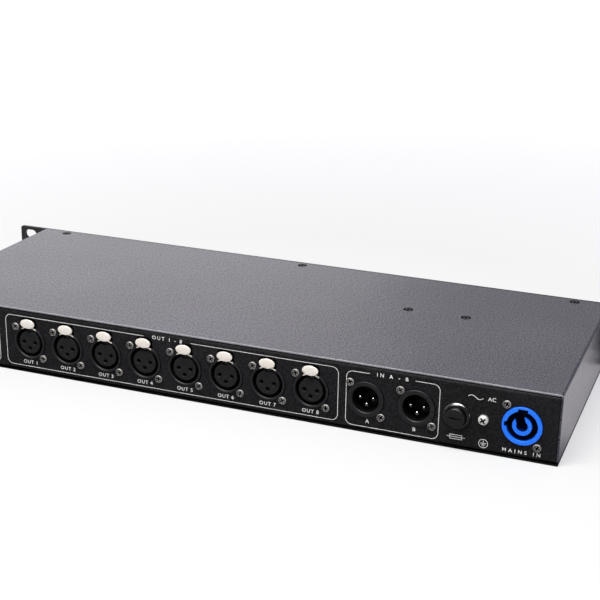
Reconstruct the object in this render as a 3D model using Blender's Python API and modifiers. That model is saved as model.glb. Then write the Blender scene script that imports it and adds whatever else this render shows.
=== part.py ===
# Rack-mount art-net node, one unit high, built as an assembly of separate pieces.
# Metres, +Z up. The rack face looks towards -Y, the connectors towards +Y.
# The origin is the bottom centre of the whole object's box.
import math

import bmesh
import bpy
from mathutils import Matrix, Vector

for old in list(bpy.data.objects):
    bpy.data.objects.remove(old, do_unlink=True)

# Driving dimensions of the case
CASE_WIDTH = 0.4382
CASE_HEIGHT = 0.0440
CASE_DEPTH = 0.1684
RACK_WIDTH = 0.4826
RACK_PANEL_HEIGHT = 0.0437
FRONT_PANEL_T = 0.0020
COVER_T = 0.0012
BASE_T = 0.0012
REAR_T = 0.0015
CHANNEL_T = 0.0012
SEAT_GAP = 0.0003
SLIDE_GAP = 0.0004
BEND_RADIUS = 0.0018
COVER_REAR_SETBACK = 0.0004
REAR_FLANGE = 0.0110
CHANNEL_FLANGE = 0.0140
SKIRT_FLANGE = 0.0090
FOOT_RISE = 0.0002

# Rack ears
SLOT_INSET = 0.00875
SLOT_SPACING_Z = 0.03175
SLOT_LENGTH = 0.0100
SLOT_HEIGHT = 0.0070
EAR_CORNER_RADIUS = 0.0020

# Connector row on the rear panel. An inset is measured from the end of the case that is nearer.
ROW_Z = 0.0215
OUTPUT_PITCH = 0.0281
OUTPUT_LAST_INSET = 0.1505
INPUT_INSETS = (0.1157, 0.0845)
FUSE_INSET = 0.0600
GROUND_INSET = 0.0443
INLET_INSET = 0.0219
JACK_INSETS = (0.0191, 0.0465)
NETWORK_ROOM = 0.0650

# Round audio-style sockets
SOCKET_NOSE_R = 0.0114
SOCKET_HOLE_CLEARANCE = 0.0004
SOCKET_BORE_R = 0.00975
SOCKET_BORE_DEPTH = 0.0150
SOCKET_BODY_DEPTH = 0.0185
FLANGE_SPACING = 0.0021
SOCKET_FLANGE_BELOW = 0.0130
SOCKET_FLANGE_ABOVE = 0.0183
SOCKET_FLANGE_T = 0.0020
SOCKET_PROUD = 0.0008
FLANGE_CORNER_R = 0.0025
ROUND_SIDES = 20
SOCKET_SCREW_OFFSET = 0.0099
SCREW_HOLE_R = 0.0014
INSERT_R = 0.00775
INSERT_PROUD = 0.0002
CONTACT_CIRCLE_R = 0.0041
CONTACT_HOLE_R = 0.00125
CONTACT_HOLE_DEPTH = 0.0100
PIN_R = 0.0012
PIN_RECESS = 0.0016
MALE_BORE_R = 0.0082
MALE_MOUTH_R = 0.0086
MALE_BORE_DEPTH = 0.0120
MALE_INSERT_T = 0.0030

# Push latch of an output socket
LATCH_WIDTH = 0.0104
LATCH_LOW = 0.01015
LATCH_HIGH = 0.01645
LATCH_PROUD = 0.0026
LATCH_PLATE_T = 0.0011
LATCH_EDGE = 0.0004
LATCH_LAP = 0.0005
LATCH_TRAVEL = 0.0018
LATCH_STEM_W = 0.0056
LATCH_STEM_LENGTH = 0.0091
LATCH_STEM_INSET = 0.0019
LATCH_HOUSING_WALL = 0.0015
LATCH_SPRING_ROOM = 0.0031
LATCH_LIP_R = 0.0101
LATCH_LIP_T = 0.0006
LATCH_LIP_REACH = (-0.0004, 0.0006)
LATCH_LIP_SWEEP = math.radians(58)
LATCH_WEB_W = 0.0040
LATCH_HOOK_W = 0.0026
LATCH_HOOK_REACH = (-0.0030, -0.0012)

# Mains inlet
INLET_NOSE_R = 0.01175
INLET_BORE_R = 0.00905
INLET_BORE_DEPTH = 0.0120
INLET_PROUD = 0.0010
INLET_KEY_W = 0.0056
INLET_KEY_DEPTH = 0.0013
INLET_SIDE_KEY_W = 0.0032
INLET_RING_R = 0.0057
INLET_RING_BORE_R = 0.0034
INLET_RING_GAP = 0.0056
INLET_RING_TURN = math.radians(18)
INLET_SCREW_X = 0.0095
INLET_SCREW_Z = 0.0120
INLET_FLANGE_H = 0.0310
INLET_BODY_DEPTH = 0.0220
INLET_RING_PROUD = 0.0008
INLET_LAP = 0.0010
BLADE_SPACING = 0.0060
BLADE_T = 0.0008
BLADE_W = 0.0060
BLADE_LENGTH = 0.0070

# Fuse holder
FUSE_Z = 0.0213
FUSE_FLANGE_R = 0.0083
FUSE_FLANGE_T = 0.0022
FUSE_BODY_R = 0.0068
FUSE_BORE_R = 0.0055
FUSE_BODY_LENGTH = 0.0330
FUSE_NUT_R = 0.0095
FUSE_NUT_T = 0.0035
FUSE_CAP_R = 0.0059
FUSE_CAP_PROUD = 0.0055
FUSE_CAP_SLOT_L = 0.0062
FUSE_CAP_SLOT_W = 0.0012
FUSE_CAP_SLOT_DEPTH = 0.0012
FUSE_CAP_EDGE = 0.0006
FUSE_PLUG_R = 0.0048
FUSE_PLUG_LENGTH = 0.0060
FUSE_LINK_R = 0.0025
FUSE_LINK_LENGTH = 0.0200
FUSE_BAND_LENGTH = 0.0050
FUSE_BAND_STEP = 0.0002
FUSE_LUG_W = 0.0048
FUSE_LUG_T = 0.0008
FUSE_LUG_LENGTH = 0.0060
FUSE_LUG_LAP = 0.0010
FUSE_SIDE_LUG_REACH = 0.0240

# Earthing screw
GROUND_HEAD_R = 0.0030
GROUND_HEAD_H = 0.0022
GROUND_SHANK_R = 0.0015
GROUND_LENGTH = 0.0090
GROUND_NUT_R = 0.0034
GROUND_NUT_T = 0.0024
GROUND_DOME = 0.0008
GROUND_CROSS_L = 0.0034
GROUND_CROSS_T = 0.0008
GROUND_CROSS_DEPTH = 0.0014

# Network jacks
JACK_W = 0.0160
JACK_H = 0.0135
JACK_DEPTH = 0.0210
JACK_PROUD = 0.0005
JACK_MOUTH_W = 0.0118
JACK_MOUTH_H = 0.0070
JACK_MOUTH_DEPTH = 0.0130
JACK_KEY_W = 0.0062
JACK_KEY_H = 0.0022
JACK_CATCH_W = 0.0034
JACK_CATCH_H = 0.0012
JACK_FLOOR = 0.0046
JACK_EDGE = 0.0003

# Circuit boards and their stand-offs
BOARD_T = 0.0016
BOARD_Z = 0.0066
STUD_R = 0.0030
BOARD_INSET = 0.0061
BOARD_SPACING = 0.0060
MAIN_BOARD_REACH = (0.0045, 0.0920)
SUPPLY_BOARD_W = 0.0570
SUPPLY_BOARD_INSETS = (0.0420, 0.0184)
STUD_INSET = 0.0060
BASE_EDGE = 0.0003

# Chips and headers. A size is the width along X, the depth along Y and the height. A place is the
# inset from the network end, or from the near end of the board for the supply header, and the
# distance from the rear panel.
DRIVER_SIZE = (0.0100, 0.0075, 0.0026)
DRIVER_REACH = 0.0310
ISOLATOR_SIZE = (0.0080, 0.0060, 0.0018)
ISOLATOR_REACH = 0.0430
PROCESSOR_SIZE = (0.0160, 0.0160, 0.0014)
PROCESSOR_PLACE = (0.0591, 0.0580)
MAGNETICS_SIZE = (0.0140, 0.0120, 0.0045)
MAGNETICS_PLACE = (0.0391, 0.0380)
MEMORY_SIZE = (0.0140, 0.0140, 0.0014)
MEMORY_PLACE = (0.1991, 0.0650)
SUPPLY_HEADER_SIZE = (0.0120, 0.0080, 0.0080)
SUPPLY_HEADER_PLACE = (0.0120, 0.0700)
RIBBON_HEADER_MARGIN = 0.0020
RIBBON_HEADER_DEPTH = 0.0060
RIBBON_HEADER_H = 0.0060

# Parts of the power supply
TRANSFORMER_SIZE = (0.0300, 0.0260, 0.0200)
TRANSFORMER_WINDING_T = 0.0020
CAPACITOR_R = 0.0080
CAPACITOR_H = 0.0280
HEAT_SINK_SIZE = (0.0120, 0.0340, 0.0240)
SUPPLY_PART_SPACING = 0.0030
HEAT_SINK_FINS = 5
HEAT_SINK_BASE_T = 0.0025
HEAT_SINK_FIN_T = 0.0015
TERMINAL_SIZE = (0.0220, 0.0100, 0.0100)
TERMINAL_INSET = (0.0080, 0.0020)
TERMINAL_PITCH = 0.0070
TERMINAL_Z = 0.0050
CAPACITOR_EDGE = 0.0010

# Pillars that carry the middle of the cover, and the cover's screws
PILLAR_INSETS = (0.1211, 0.0821)
PILLAR_CLEARANCE = 0.0096
PILLAR_ACROSS = 0.0060
PILLAR_THREAD_DEPTH = 0.0080
COVER_SCREW_R = 0.0021
COVER_SCREW_INSET = 0.0225
COVER_SCREW_SETBACK = 0.0071

# Flat cable between the boards
RIBBON_X = -0.0200
RIBBON_W = 0.0200
RIBBON_T = 0.0010
RIBBON_BEND = 0.0080

# Insulated mains leads
LEAD_R = 0.0011
LEAD_STUB = 0.0035

# Front controls
WINDOW_X = -0.0600
WINDOW_SIZE = (0.0660, 0.0200)
WINDOW_T = 0.0016
DISPLAY_MARGIN = 0.0020
DISPLAY_T = 0.0050
BUTTON_FIRST_X = 0.0000
BUTTON_PITCH = 0.0140
BUTTON_COUNT = 4
BUTTON_R = 0.0035
BUTTON_FLANGE_R = 0.0044
BUTTON_FLANGE_T = 0.0006
BUTTON_EDGE = 0.0005
BUTTON_PROUD = 0.0016
BUTTON_TRAVEL = 0.0008
SWITCH_SIZE = 0.0060
SWITCH_PLAY = 0.0008
LIGHT_LAST_INSET = 0.0311
LIGHT_PITCH = 0.0120
LIGHT_COUNT = 10
LIGHT_R = 0.0015
LIGHT_PROUD = 0.0003
LIGHT_BAR_H = 0.0060
LAMP_SIZE = 0.0020
LAMP_H = 0.0008
FRONT_BOARD_MARGIN = 0.0120
FRONT_BOARD_H = 0.0300

# Places that follow from the driving dimensions. The row holds as many outputs as fit between the
# inputs and the network sockets.
Y_REAR = (CASE_DEPTH + BUTTON_PROUD + FUSE_CAP_PROUD) / 2 - FUSE_CAP_PROUD
Y_FRONT = Y_REAR - CASE_DEPTH
Y_PANEL_BACK = Y_FRONT + FRONT_PANEL_T
Y_COVER_FRONT = Y_PANEL_BACK + SEAT_GAP
Y_CHANNEL_BACK = Y_COVER_FRONT + CHANNEL_T
Z_SHEET_LOW = BASE_T + SEAT_GAP
Z_SHEET_HIGH = CASE_HEIGHT - COVER_T - SEAT_GAP
X_INNER = CASE_WIDTH / 2 - COVER_T - SEAT_GAP
BOARD_TOP = BOARD_Z + BOARD_T
FRONT_MID_Z = CASE_HEIGHT / 2
MAINS_END, NETWORK_END = -CASE_WIDTH / 2, CASE_WIDTH / 2
SLOT_SPACING_X = RACK_WIDTH - 2 * SLOT_INSET
INLET_X = MAINS_END + INLET_INSET
GROUND_X = MAINS_END + GROUND_INSET
FUSE_X = MAINS_END + FUSE_INSET
INPUT_X = [MAINS_END + inset for inset in INPUT_INSETS]
JACK_X = [NETWORK_END - inset for inset in JACK_INSETS]
OUTPUT_ROOM = CASE_WIDTH - (OUTPUT_LAST_INSET - OUTPUT_PITCH / 2) - NETWORK_ROOM
OUTPUT_COUNT = int(OUTPUT_ROOM / OUTPUT_PITCH)
OUTPUT_FIRST_X = MAINS_END + OUTPUT_LAST_INSET + OUTPUT_PITCH * (OUTPUT_COUNT - 1)
OUTPUT_X = [OUTPUT_FIRST_X - OUTPUT_PITCH * i for i in range(OUTPUT_COUNT)]
SOCKET_FLANGE_W = OUTPUT_PITCH - FLANGE_SPACING
SOCKET_HOLE_R = SOCKET_NOSE_R + SOCKET_HOLE_CLEARANCE
NOTCH_HALF_W = LATCH_WIDTH / 2 + SLIDE_GAP
NOTCH_TOP = LATCH_HIGH + SLIDE_GAP
INLET_HOLE_R = INLET_NOSE_R + SEAT_GAP
FLANGE_FACE = -(REAR_T + SEAT_GAP)
LATCH_BACK = LATCH_PROUD - LATCH_PLATE_T
LATCH_CHANNEL_END = LATCH_BACK - LATCH_STEM_LENGTH - LATCH_TRAVEL - LATCH_SPRING_ROOM
Y_DISPLAY = Y_FRONT + WINDOW_T + 2 * SEAT_GAP
Y_FRONT_BOARD = Y_DISPLAY + DISPLAY_T + SEAT_GAP
SUPPLY_BOARD_X = (MAINS_END + BOARD_INSET, MAINS_END + BOARD_INSET + SUPPLY_BOARD_W)
SUPPLY_BOARD_REACH = (SUPPLY_BOARD_INSETS[0], CASE_DEPTH - SUPPLY_BOARD_INSETS[1])
MAIN_BOARD_X = (SUPPLY_BOARD_X[1] + BOARD_SPACING, NETWORK_END - BOARD_INSET)
PILLAR_X = [MAINS_END + inset for inset in PILLAR_INSETS]
PILLAR_REACH = MAIN_BOARD_REACH[1] + PILLAR_CLEARANCE
COVER_SCREW_X = (MAINS_END + COVER_SCREW_INSET, 0.0, NETWORK_END - COVER_SCREW_INSET)
COVER_SCREW_REACH = CASE_DEPTH - COVER_SCREW_SETBACK
RIBBON_Y = Y_REAR - MAIN_BOARD_REACH[1] + RIBBON_HEADER_DEPTH
SWITCH_FACE = Y_PANEL_BACK + SEAT_GAP + BUTTON_FLANGE_T + BUTTON_TRAVEL + SWITCH_PLAY
BUTTON_XS = [BUTTON_FIRST_X + BUTTON_PITCH * i for i in range(BUTTON_COUNT)]
LIGHT_FIRST_X = NETWORK_END - LIGHT_LAST_INSET - LIGHT_PITCH * (LIGHT_COUNT - 1)
LIGHT_XS = [LIGHT_FIRST_X + LIGHT_PITCH * i for i in range(LIGHT_COUNT)]
FRONT_BOARD_X = (WINDOW_X - WINDOW_SIZE[0] / 2 - FRONT_BOARD_MARGIN, LIGHT_XS[-1] + FRONT_BOARD_MARGIN)

parts = bpy.data.collections.new("art_net_node")
bpy.context.scene.collection.children.link(parts)


def material(name, colour, roughness, metallic=0.0):
    """A Principled material with a plain colour."""
    mat = bpy.data.materials.new(name)
    mat.use_nodes = True
    shader = mat.node_tree.nodes["Principled BSDF"]
    shader.inputs["Base Color"].default_value = (*colour, 1.0)
    shader.inputs["Roughness"].default_value = roughness
    shader.inputs["Metallic"].default_value = metallic
    return mat


POWDER_COAT = material("powder_coat", (0.020, 0.020, 0.022), 0.55)
BLACK_PLASTIC = material("black_plastic", (0.012, 0.012, 0.013), 0.45)
INSERT_PLASTIC = material("insert_plastic", (0.045, 0.045, 0.050), 0.60)
LATCH_METAL = material("latch_metal", (0.82, 0.79, 0.75), 0.30, 1.0)
STEEL = material("steel", (0.70, 0.70, 0.70), 0.30, 1.0)
PIN_METAL = material("pin_metal", (0.86, 0.84, 0.80), 0.20, 1.0)
INLET_BLUE = material("inlet_blue", (0.010, 0.130, 0.850), 0.35)
JACK_METAL = material("jack_metal", (0.66, 0.66, 0.66), 0.32, 1.0)
BOARD_GREEN = material("board_green", (0.010, 0.110, 0.045), 0.50)
GLASS = material("window_acrylic", (0.015, 0.015, 0.020), 0.08)
DISPLAY_GREY = material("display_grey", (0.040, 0.050, 0.060), 0.30)
BUTTON_BLACK = material("button_black", (0.015, 0.015, 0.016), 0.50)
GUIDE_CLEAR = material("light_guide_clear", (0.70, 0.74, 0.72), 0.25)
CORE_YELLOW = material("winding_yellow", (0.650, 0.420, 0.060), 0.55)
SLEEVE_BLACK = material("capacitor_sleeve", (0.020, 0.022, 0.030), 0.40)
ALUMINIUM = material("aluminium", (0.62, 0.63, 0.64), 0.42, 1.0)
RIBBON_GREY = material("ribbon_grey", (0.36, 0.36, 0.37), 0.55)
LEAD_BROWN = material("lead_brown", (0.120, 0.045, 0.018), 0.45)
LEAD_BLUE = material("lead_blue", (0.020, 0.070, 0.420), 0.45)
LEAD_GREEN = material("lead_green", (0.040, 0.260, 0.050), 0.45)
GLASS_TUBE = material("fuse_glass", (0.60, 0.66, 0.66), 0.10)


def merge_flat_faces(mesh):
    """Joins faces that lie in one plane, which leaves the shape as it is."""
    bm = bmesh.new()
    bm.from_mesh(mesh)
    bmesh.ops.dissolve_limit(bm, angle_limit=math.radians(0.2), verts=bm.verts, edges=bm.edges)
    bm.to_mesh(mesh)
    bm.free()


def add_object(name, mesh, mat, place=(0.0, 0.0, 0.0)):
    """A named object of the assembly at its place."""
    if mesh.users == 0:
        merge_flat_faces(mesh)
    obj = bpy.data.objects.new(name, mesh)
    obj.location = place
    parts.objects.link(obj)
    obj.data.materials.clear()
    obj.data.materials.append(mat)
    return obj


def evaluated_mesh(obj):
    """The object's mesh with its modifiers done and its doubles merged, in its own space."""
    bpy.context.view_layer.update()
    graph = bpy.context.evaluated_depsgraph_get()
    mesh = bpy.data.meshes.new_from_object(obj.evaluated_get(graph))
    bm = bmesh.new()
    bm.from_mesh(mesh)
    bmesh.ops.remove_doubles(bm, verts=bm.verts, dist=1e-6)
    bm.to_mesh(mesh)
    bm.free()
    return mesh


def shape_object(mesh):
    """A helper object that holds a shape while Booleans use it."""
    obj = bpy.data.objects.new("shape", mesh)
    bpy.context.scene.collection.objects.link(obj)
    return obj


def combine(mesh, tools, operation):
    """Joins or cuts a mesh with other closed meshes, one exact Boolean after another."""
    for tool in tools:
        body = shape_object(mesh)
        helper = shape_object(tool)
        helper.hide_render = True
        helper.display_type = "WIRE"
        mod = body.modifiers.new("combine", "BOOLEAN")
        mod.operation = operation
        mod.solver = "EXACT"
        mod.object = helper
        mesh = evaluated_mesh(body)
        bpy.data.objects.remove(body, do_unlink=True)
        bpy.data.objects.remove(helper, do_unlink=True)
    return mesh


def join(mesh, tools):
    return combine(mesh, tools, "UNION")


def cut(mesh, tools):
    return combine(mesh, tools, "DIFFERENCE")


def moved(mesh, offset):
    """The same mesh, shifted."""
    mesh.transform(Matrix.Translation(Vector(offset)))
    return mesh


def block(low, high):
    """A rectangular block between two corners."""
    bm = bmesh.new()
    bmesh.ops.create_cube(bm, size=1.0)
    low, high = Vector(low), Vector(high)
    size = high - low
    bmesh.ops.scale(bm, vec=size, verts=bm.verts)
    bmesh.ops.translate(bm, vec=(low + high) / 2, verts=bm.verts)
    mesh = bpy.data.meshes.new("block")
    bm.to_mesh(mesh)
    bm.free()
    return mesh


def bevelled(mesh, width, segments=2, angle=math.radians(40)):
    """Rounds the sharp edges of a closed mesh."""
    obj = shape_object(mesh)
    mod = obj.modifiers.new("bevel", "BEVEL")
    mod.width = width
    mod.segments = segments
    mod.limit_method = "ANGLE"
    mod.angle_limit = angle
    result = evaluated_mesh(obj)
    bpy.data.objects.remove(obj, do_unlink=True)
    return result


def circle(cx, cy, radius, count):
    return [(cx + radius * math.cos(2 * math.pi * i / count),
             cy + radius * math.sin(2 * math.pi * i / count)) for i in range(count)]


def arc(cx, cy, radius, start, end, count):
    """Points on an arc from one angle to another, both ends included."""
    step = (end - start) / (count - 1)
    return [(cx + radius * math.cos(start + step * i),
             cy + radius * math.sin(start + step * i)) for i in range(count)]


def round_rect(cx, cy, width, height, radius, count=4):
    """A rectangle with round corners, counter-clockwise."""
    points = []
    corners = ((1, 1, 0), (-1, 1, 1), (-1, -1, 2), (1, -1, 3))
    for sx, sy, quarter in corners:
        mx = cx + sx * (width / 2 - radius)
        my = cy + sy * (height / 2 - radius)
        start = quarter * math.pi / 2
        points += arc(mx, my, radius, start, start + math.pi / 2, count)
    return points


def outline_solid(loops, low, high, plane="XZ"):
    """A flat outline, with further loops as holes or as separate pieces, given a thickness.

    In plane XZ the outline stands upright and its thickness runs along Y, and in plane XY it
    lies flat and its thickness runs along Z.
    """
    curve = bpy.data.curves.new("outline", "CURVE")
    curve.dimensions = "2D"
    curve.fill_mode = "BOTH"
    curve.extrude = (high - low) / 2
    for loop in loops:
        spline = curve.splines.new("POLY")
        spline.points.add(len(loop) - 1)
        for point, (a, b) in zip(spline.points, loop):
            point.co = (a, b, 0.0, 1.0)
        spline.use_cyclic_u = True
    obj = bpy.data.objects.new("outline", curve)
    bpy.context.scene.collection.objects.link(obj)
    mesh = evaluated_mesh(obj)
    bpy.data.objects.remove(obj, do_unlink=True)
    mid = (low + high) / 2
    if plane == "XZ":
        mesh.transform(Matrix.Rotation(math.pi / 2, 4, "X"))
        return moved(mesh, (0.0, mid, 0.0))
    return moved(mesh, (0.0, 0.0, mid))


def turned(profile, segments=32, axis="Y"):
    """A turned solid from a profile of (radius, height) points that runs down its outer side.

    The profile starts and ends on the axis, or is closed by repeating its first point.
    """
    bm = bmesh.new()
    verts = [bm.verts.new((radius, 0.0, height)) for radius, height in profile]
    for first, second in zip(verts, verts[1:]):
        bm.edges.new((first, second))
    mesh = bpy.data.meshes.new("profile")
    bm.to_mesh(mesh)
    bm.free()
    obj = shape_object(mesh)
    mod = obj.modifiers.new("turn", "SCREW")
    mod.axis = "Z"
    mod.steps = segments
    mod.render_steps = segments
    mod.use_merge_vertices = True
    mod.merge_threshold = 1e-6
    result = evaluated_mesh(obj)
    bpy.data.objects.remove(obj, do_unlink=True)
    if axis == "Y":
        result.transform(Matrix.Rotation(-math.pi / 2, 4, "X"))
    return result


def rod(radius, low, high, segments=16, axis="Y"):
    """A plain round bar along Y or Z."""
    return turned([(0.0, high), (radius, high), (radius, low), (0.0, low)], segments, axis)


def soft_corners(points, radius, count=4):
    """A path whose inner corners are replaced by arcs."""
    path = [Vector(points[0])]
    for before, corner, after in zip(points, points[1:], points[2:]):
        before, corner, after = Vector(before), Vector(corner), Vector(after)
        back = (before - corner).normalized()
        ahead = (after - corner).normalized()
        half = back.angle(ahead) / 2
        reach = radius / math.tan(half)
        centre = corner + (back + ahead).normalized() * (radius / math.sin(half))
        start = corner + back * reach - centre
        end = corner + ahead * reach - centre
        sweep = start.angle_signed(end)
        for i in range(count + 1):
            turn = Matrix.Rotation(-sweep * i / count, 2)
            path.append(centre + turn @ start)
    path.append(Vector(points[-1]))
    return path


def bent_sheet(points, length, thickness, radius, run="X", side=-1.0):
    """Sheet metal bent along a path, which is its outer face.

    With run X the path lies in the YZ plane and the sheet runs along X. With run Y the path
    lies in the XZ plane and the sheet runs along Y.
    """
    bm = bmesh.new()
    start = -length / 2
    verts = []
    for a, b in soft_corners(points, radius):
        place = (start, a, b) if run == "X" else (a, start, b)
        verts.append(bm.verts.new(place))
    edges = [bm.edges.new(pair) for pair in zip(verts, verts[1:])]
    grown = bmesh.ops.extrude_edge_only(bm, edges=edges)
    new_verts = [g for g in grown["geom"] if isinstance(g, bmesh.types.BMVert)]
    shift = (length, 0.0, 0.0) if run == "X" else (0.0, length, 0.0)
    bmesh.ops.translate(bm, vec=shift, verts=new_verts)
    mesh = bpy.data.meshes.new("sheet")
    bm.to_mesh(mesh)
    bm.free()
    obj = shape_object(mesh)
    mod = obj.modifiers.new("wall", "SOLIDIFY")
    mod.thickness = thickness
    mod.offset = side
    mod.use_even_offset = True
    result = evaluated_mesh(obj)
    bpy.data.objects.remove(obj, do_unlink=True)
    return result


def smooth(obj, angle=35):
    """Smooth shading with the sharp edges kept."""
    obj.data.shade_smooth()
    obj.data.set_sharp_from_angle(angle=math.radians(angle))
    return obj


# Case: base plate with pressed-in studs that carry the boards
def stud_places():
    places = []
    for xs, reach, count in ((MAIN_BOARD_X, MAIN_BOARD_REACH, 4), (SUPPLY_BOARD_X, SUPPLY_BOARD_REACH, 2)):
        first, last = xs[0] + STUD_INSET, xs[1] - STUD_INSET
        for i in range(count):
            x = first + (last - first) * i / (count - 1)
            for depth in (reach[0] + STUD_INSET + REAR_FLANGE, reach[1] - STUD_INSET):
                places.append((x, Y_REAR - depth))
    return places


def make_base_plate():
    half = CASE_WIDTH / 2
    plate = block((-half, Y_COVER_FRONT, 0.0), (half, Y_REAR, BASE_T))
    plate = bevelled(plate, BASE_EDGE, 1)
    studs = []
    for x, y in stud_places():
        stud = rod(STUD_R, BASE_T / 2, BOARD_Z - SEAT_GAP, 8, "Z")
        studs.append(moved(stud, (x, y, 0.0)))
    add_object("base_plate", join(plate, studs), POWDER_COAT)


# Case: cover bent from one sheet, with side skirts and short feet turned in on the base plate
def make_top_cover():
    half = CASE_WIDTH / 2
    rear = Y_REAR - COVER_REAR_SETBACK
    path = [(half, Z_SHEET_LOW), (half, CASE_HEIGHT), (-half, CASE_HEIGHT), (-half, Z_SHEET_LOW)]
    sheet = bent_sheet(path, rear - Y_COVER_FRONT, COVER_T, BEND_RADIUS, "Y", -1.0)
    sheet = moved(sheet, (0.0, (rear + Y_COVER_FRONT) / 2, 0.0))
    foot_front = Y_CHANNEL_BACK + CHANNEL_FLANGE + 2 * SEAT_GAP
    foot_rear = Y_REAR - REAR_T - REAR_FLANGE - 2 * SEAT_GAP
    foot_low = Z_SHEET_LOW + FOOT_RISE
    feet = []
    for side in (-1.0, 1.0):
        xs = sorted((side * (half - SKIRT_FLANGE), side * (half - COVER_T / 2)))
        feet.append(block((xs[0], foot_front, foot_low), (xs[1], foot_rear, foot_low + COVER_T)))
    sheet = join(sheet, feet)
    holes = [circle(x, Y_REAR - COVER_SCREW_REACH, COVER_SCREW_R, 8) for x in COVER_SCREW_X]
    holes += [circle(x, Y_REAR - PILLAR_REACH, COVER_SCREW_R, 8) for x in PILLAR_X]
    drill = outline_solid(holes, CASE_HEIGHT - 2 * COVER_T, CASE_HEIGHT + COVER_T, "XY")
    add_object("top_cover", cut(sheet, [drill]), POWDER_COAT)


# Case: rear panel, a channel with its flanges turned forwards
def keyhole(cx, cz):
    """The opening of an output socket: a round hole with a notch above it for the latch."""
    reach = math.sqrt(SOCKET_HOLE_R ** 2 - NOTCH_HALF_W ** 2)
    side = math.atan2(reach, NOTCH_HALF_W)
    corner = SLIDE_GAP * 6
    points = arc(cx, cz, SOCKET_HOLE_R, math.pi - side, 2 * math.pi + side, 15)
    top = cz + NOTCH_TOP
    points += arc(cx + NOTCH_HALF_W - corner, top - corner, corner, 0.0, math.pi / 2, 3)
    points += arc(cx - NOTCH_HALF_W + corner, top - corner, corner, math.pi / 2, math.pi, 3)
    return points


def socket_screw_places(cx, cz):
    """Upper screw on the left and lower screw on the right, as seen from behind."""
    offset = SOCKET_SCREW_OFFSET
    return [(cx + offset, cz + offset), (cx - offset, cz - offset)]


def make_rear_panel():
    path = [(Y_REAR - REAR_FLANGE, Z_SHEET_LOW), (Y_REAR, Z_SHEET_LOW),
            (Y_REAR, Z_SHEET_HIGH), (Y_REAR - REAR_FLANGE, Z_SHEET_HIGH)]
    sheet = bent_sheet(path, 2 * X_INNER, REAR_T, BEND_RADIUS, "X", 1.0)
    loops = [keyhole(x, ROW_Z) for x in OUTPUT_X]
    loops += [circle(x, ROW_Z, SOCKET_HOLE_R, ROUND_SIDES) for x in INPUT_X]
    loops.append(circle(INLET_X, ROW_Z, INLET_HOLE_R, 32))
    loops.append(circle(FUSE_X, FUSE_Z, FUSE_BODY_R + SEAT_GAP, ROUND_SIDES))
    loops.append(circle(GROUND_X, ROW_Z, GROUND_SHANK_R + SEAT_GAP, 8))
    jack_mid = BOARD_TOP + SEAT_GAP + JACK_H / 2
    for x in JACK_X:
        loops.append(round_rect(x, jack_mid, JACK_W + 2 * SEAT_GAP, JACK_H + 2 * SEAT_GAP, SEAT_GAP, 2))
    for x in OUTPUT_X + INPUT_X:
        loops += [circle(sx, sz, SCREW_HOLE_R, 6) for sx, sz in socket_screw_places(x, ROW_Z)]
    for sign in (1.0, -1.0):
        place = (INLET_X + sign * INLET_SCREW_X, ROW_Z + sign * INLET_SCREW_Z)
        loops.append(circle(*place, SCREW_HOLE_R, 6))
    tool = outline_solid(loops, Y_REAR - 2 * REAR_T, Y_REAR + REAR_T)
    add_object("rear_panel", cut(sheet, [tool]), POWDER_COAT)


# Case: flat rack panel with ears
def slot_places():
    xs = (-SLOT_SPACING_X / 2, SLOT_SPACING_X / 2)
    zs = (FRONT_MID_Z - SLOT_SPACING_Z / 2, FRONT_MID_Z + SLOT_SPACING_Z / 2)
    return [(x, z) for x in xs for z in zs]


def make_front_panel():
    loops = [round_rect(0.0, FRONT_MID_Z, RACK_WIDTH, RACK_PANEL_HEIGHT, EAR_CORNER_RADIUS)]
    for x, z in slot_places():
        loops.append(round_rect(x, z, SLOT_LENGTH, SLOT_HEIGHT, SLOT_HEIGHT / 2 - 1e-5, 5))
    width, height = WINDOW_SIZE
    loops.append(round_rect(WINDOW_X, FRONT_MID_Z, width + 2 * SEAT_GAP, height + 2 * SEAT_GAP,
                            5 * SEAT_GAP))
    for x in BUTTON_XS:
        loops.append(circle(x, FRONT_MID_Z, BUTTON_R + 2 * SEAT_GAP, 12))
    for x in LIGHT_XS:
        loops.append(circle(x, FRONT_MID_Z, LIGHT_R + SEAT_GAP, 6))
    plate = outline_solid(loops, Y_FRONT, Y_PANEL_BACK)
    add_object("front_panel", plate, POWDER_COAT)


# Case: channel behind the rack panel, which carries the cover screws and the front board
def front_stud_places():
    first, last = FRONT_BOARD_X[0] + STUD_INSET, FRONT_BOARD_X[1] - STUD_INSET
    rise = FRONT_BOARD_H / 2 - STUD_R
    return [(x, FRONT_MID_Z + dz) for x in (first, last) for dz in (-rise, rise)]


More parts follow.
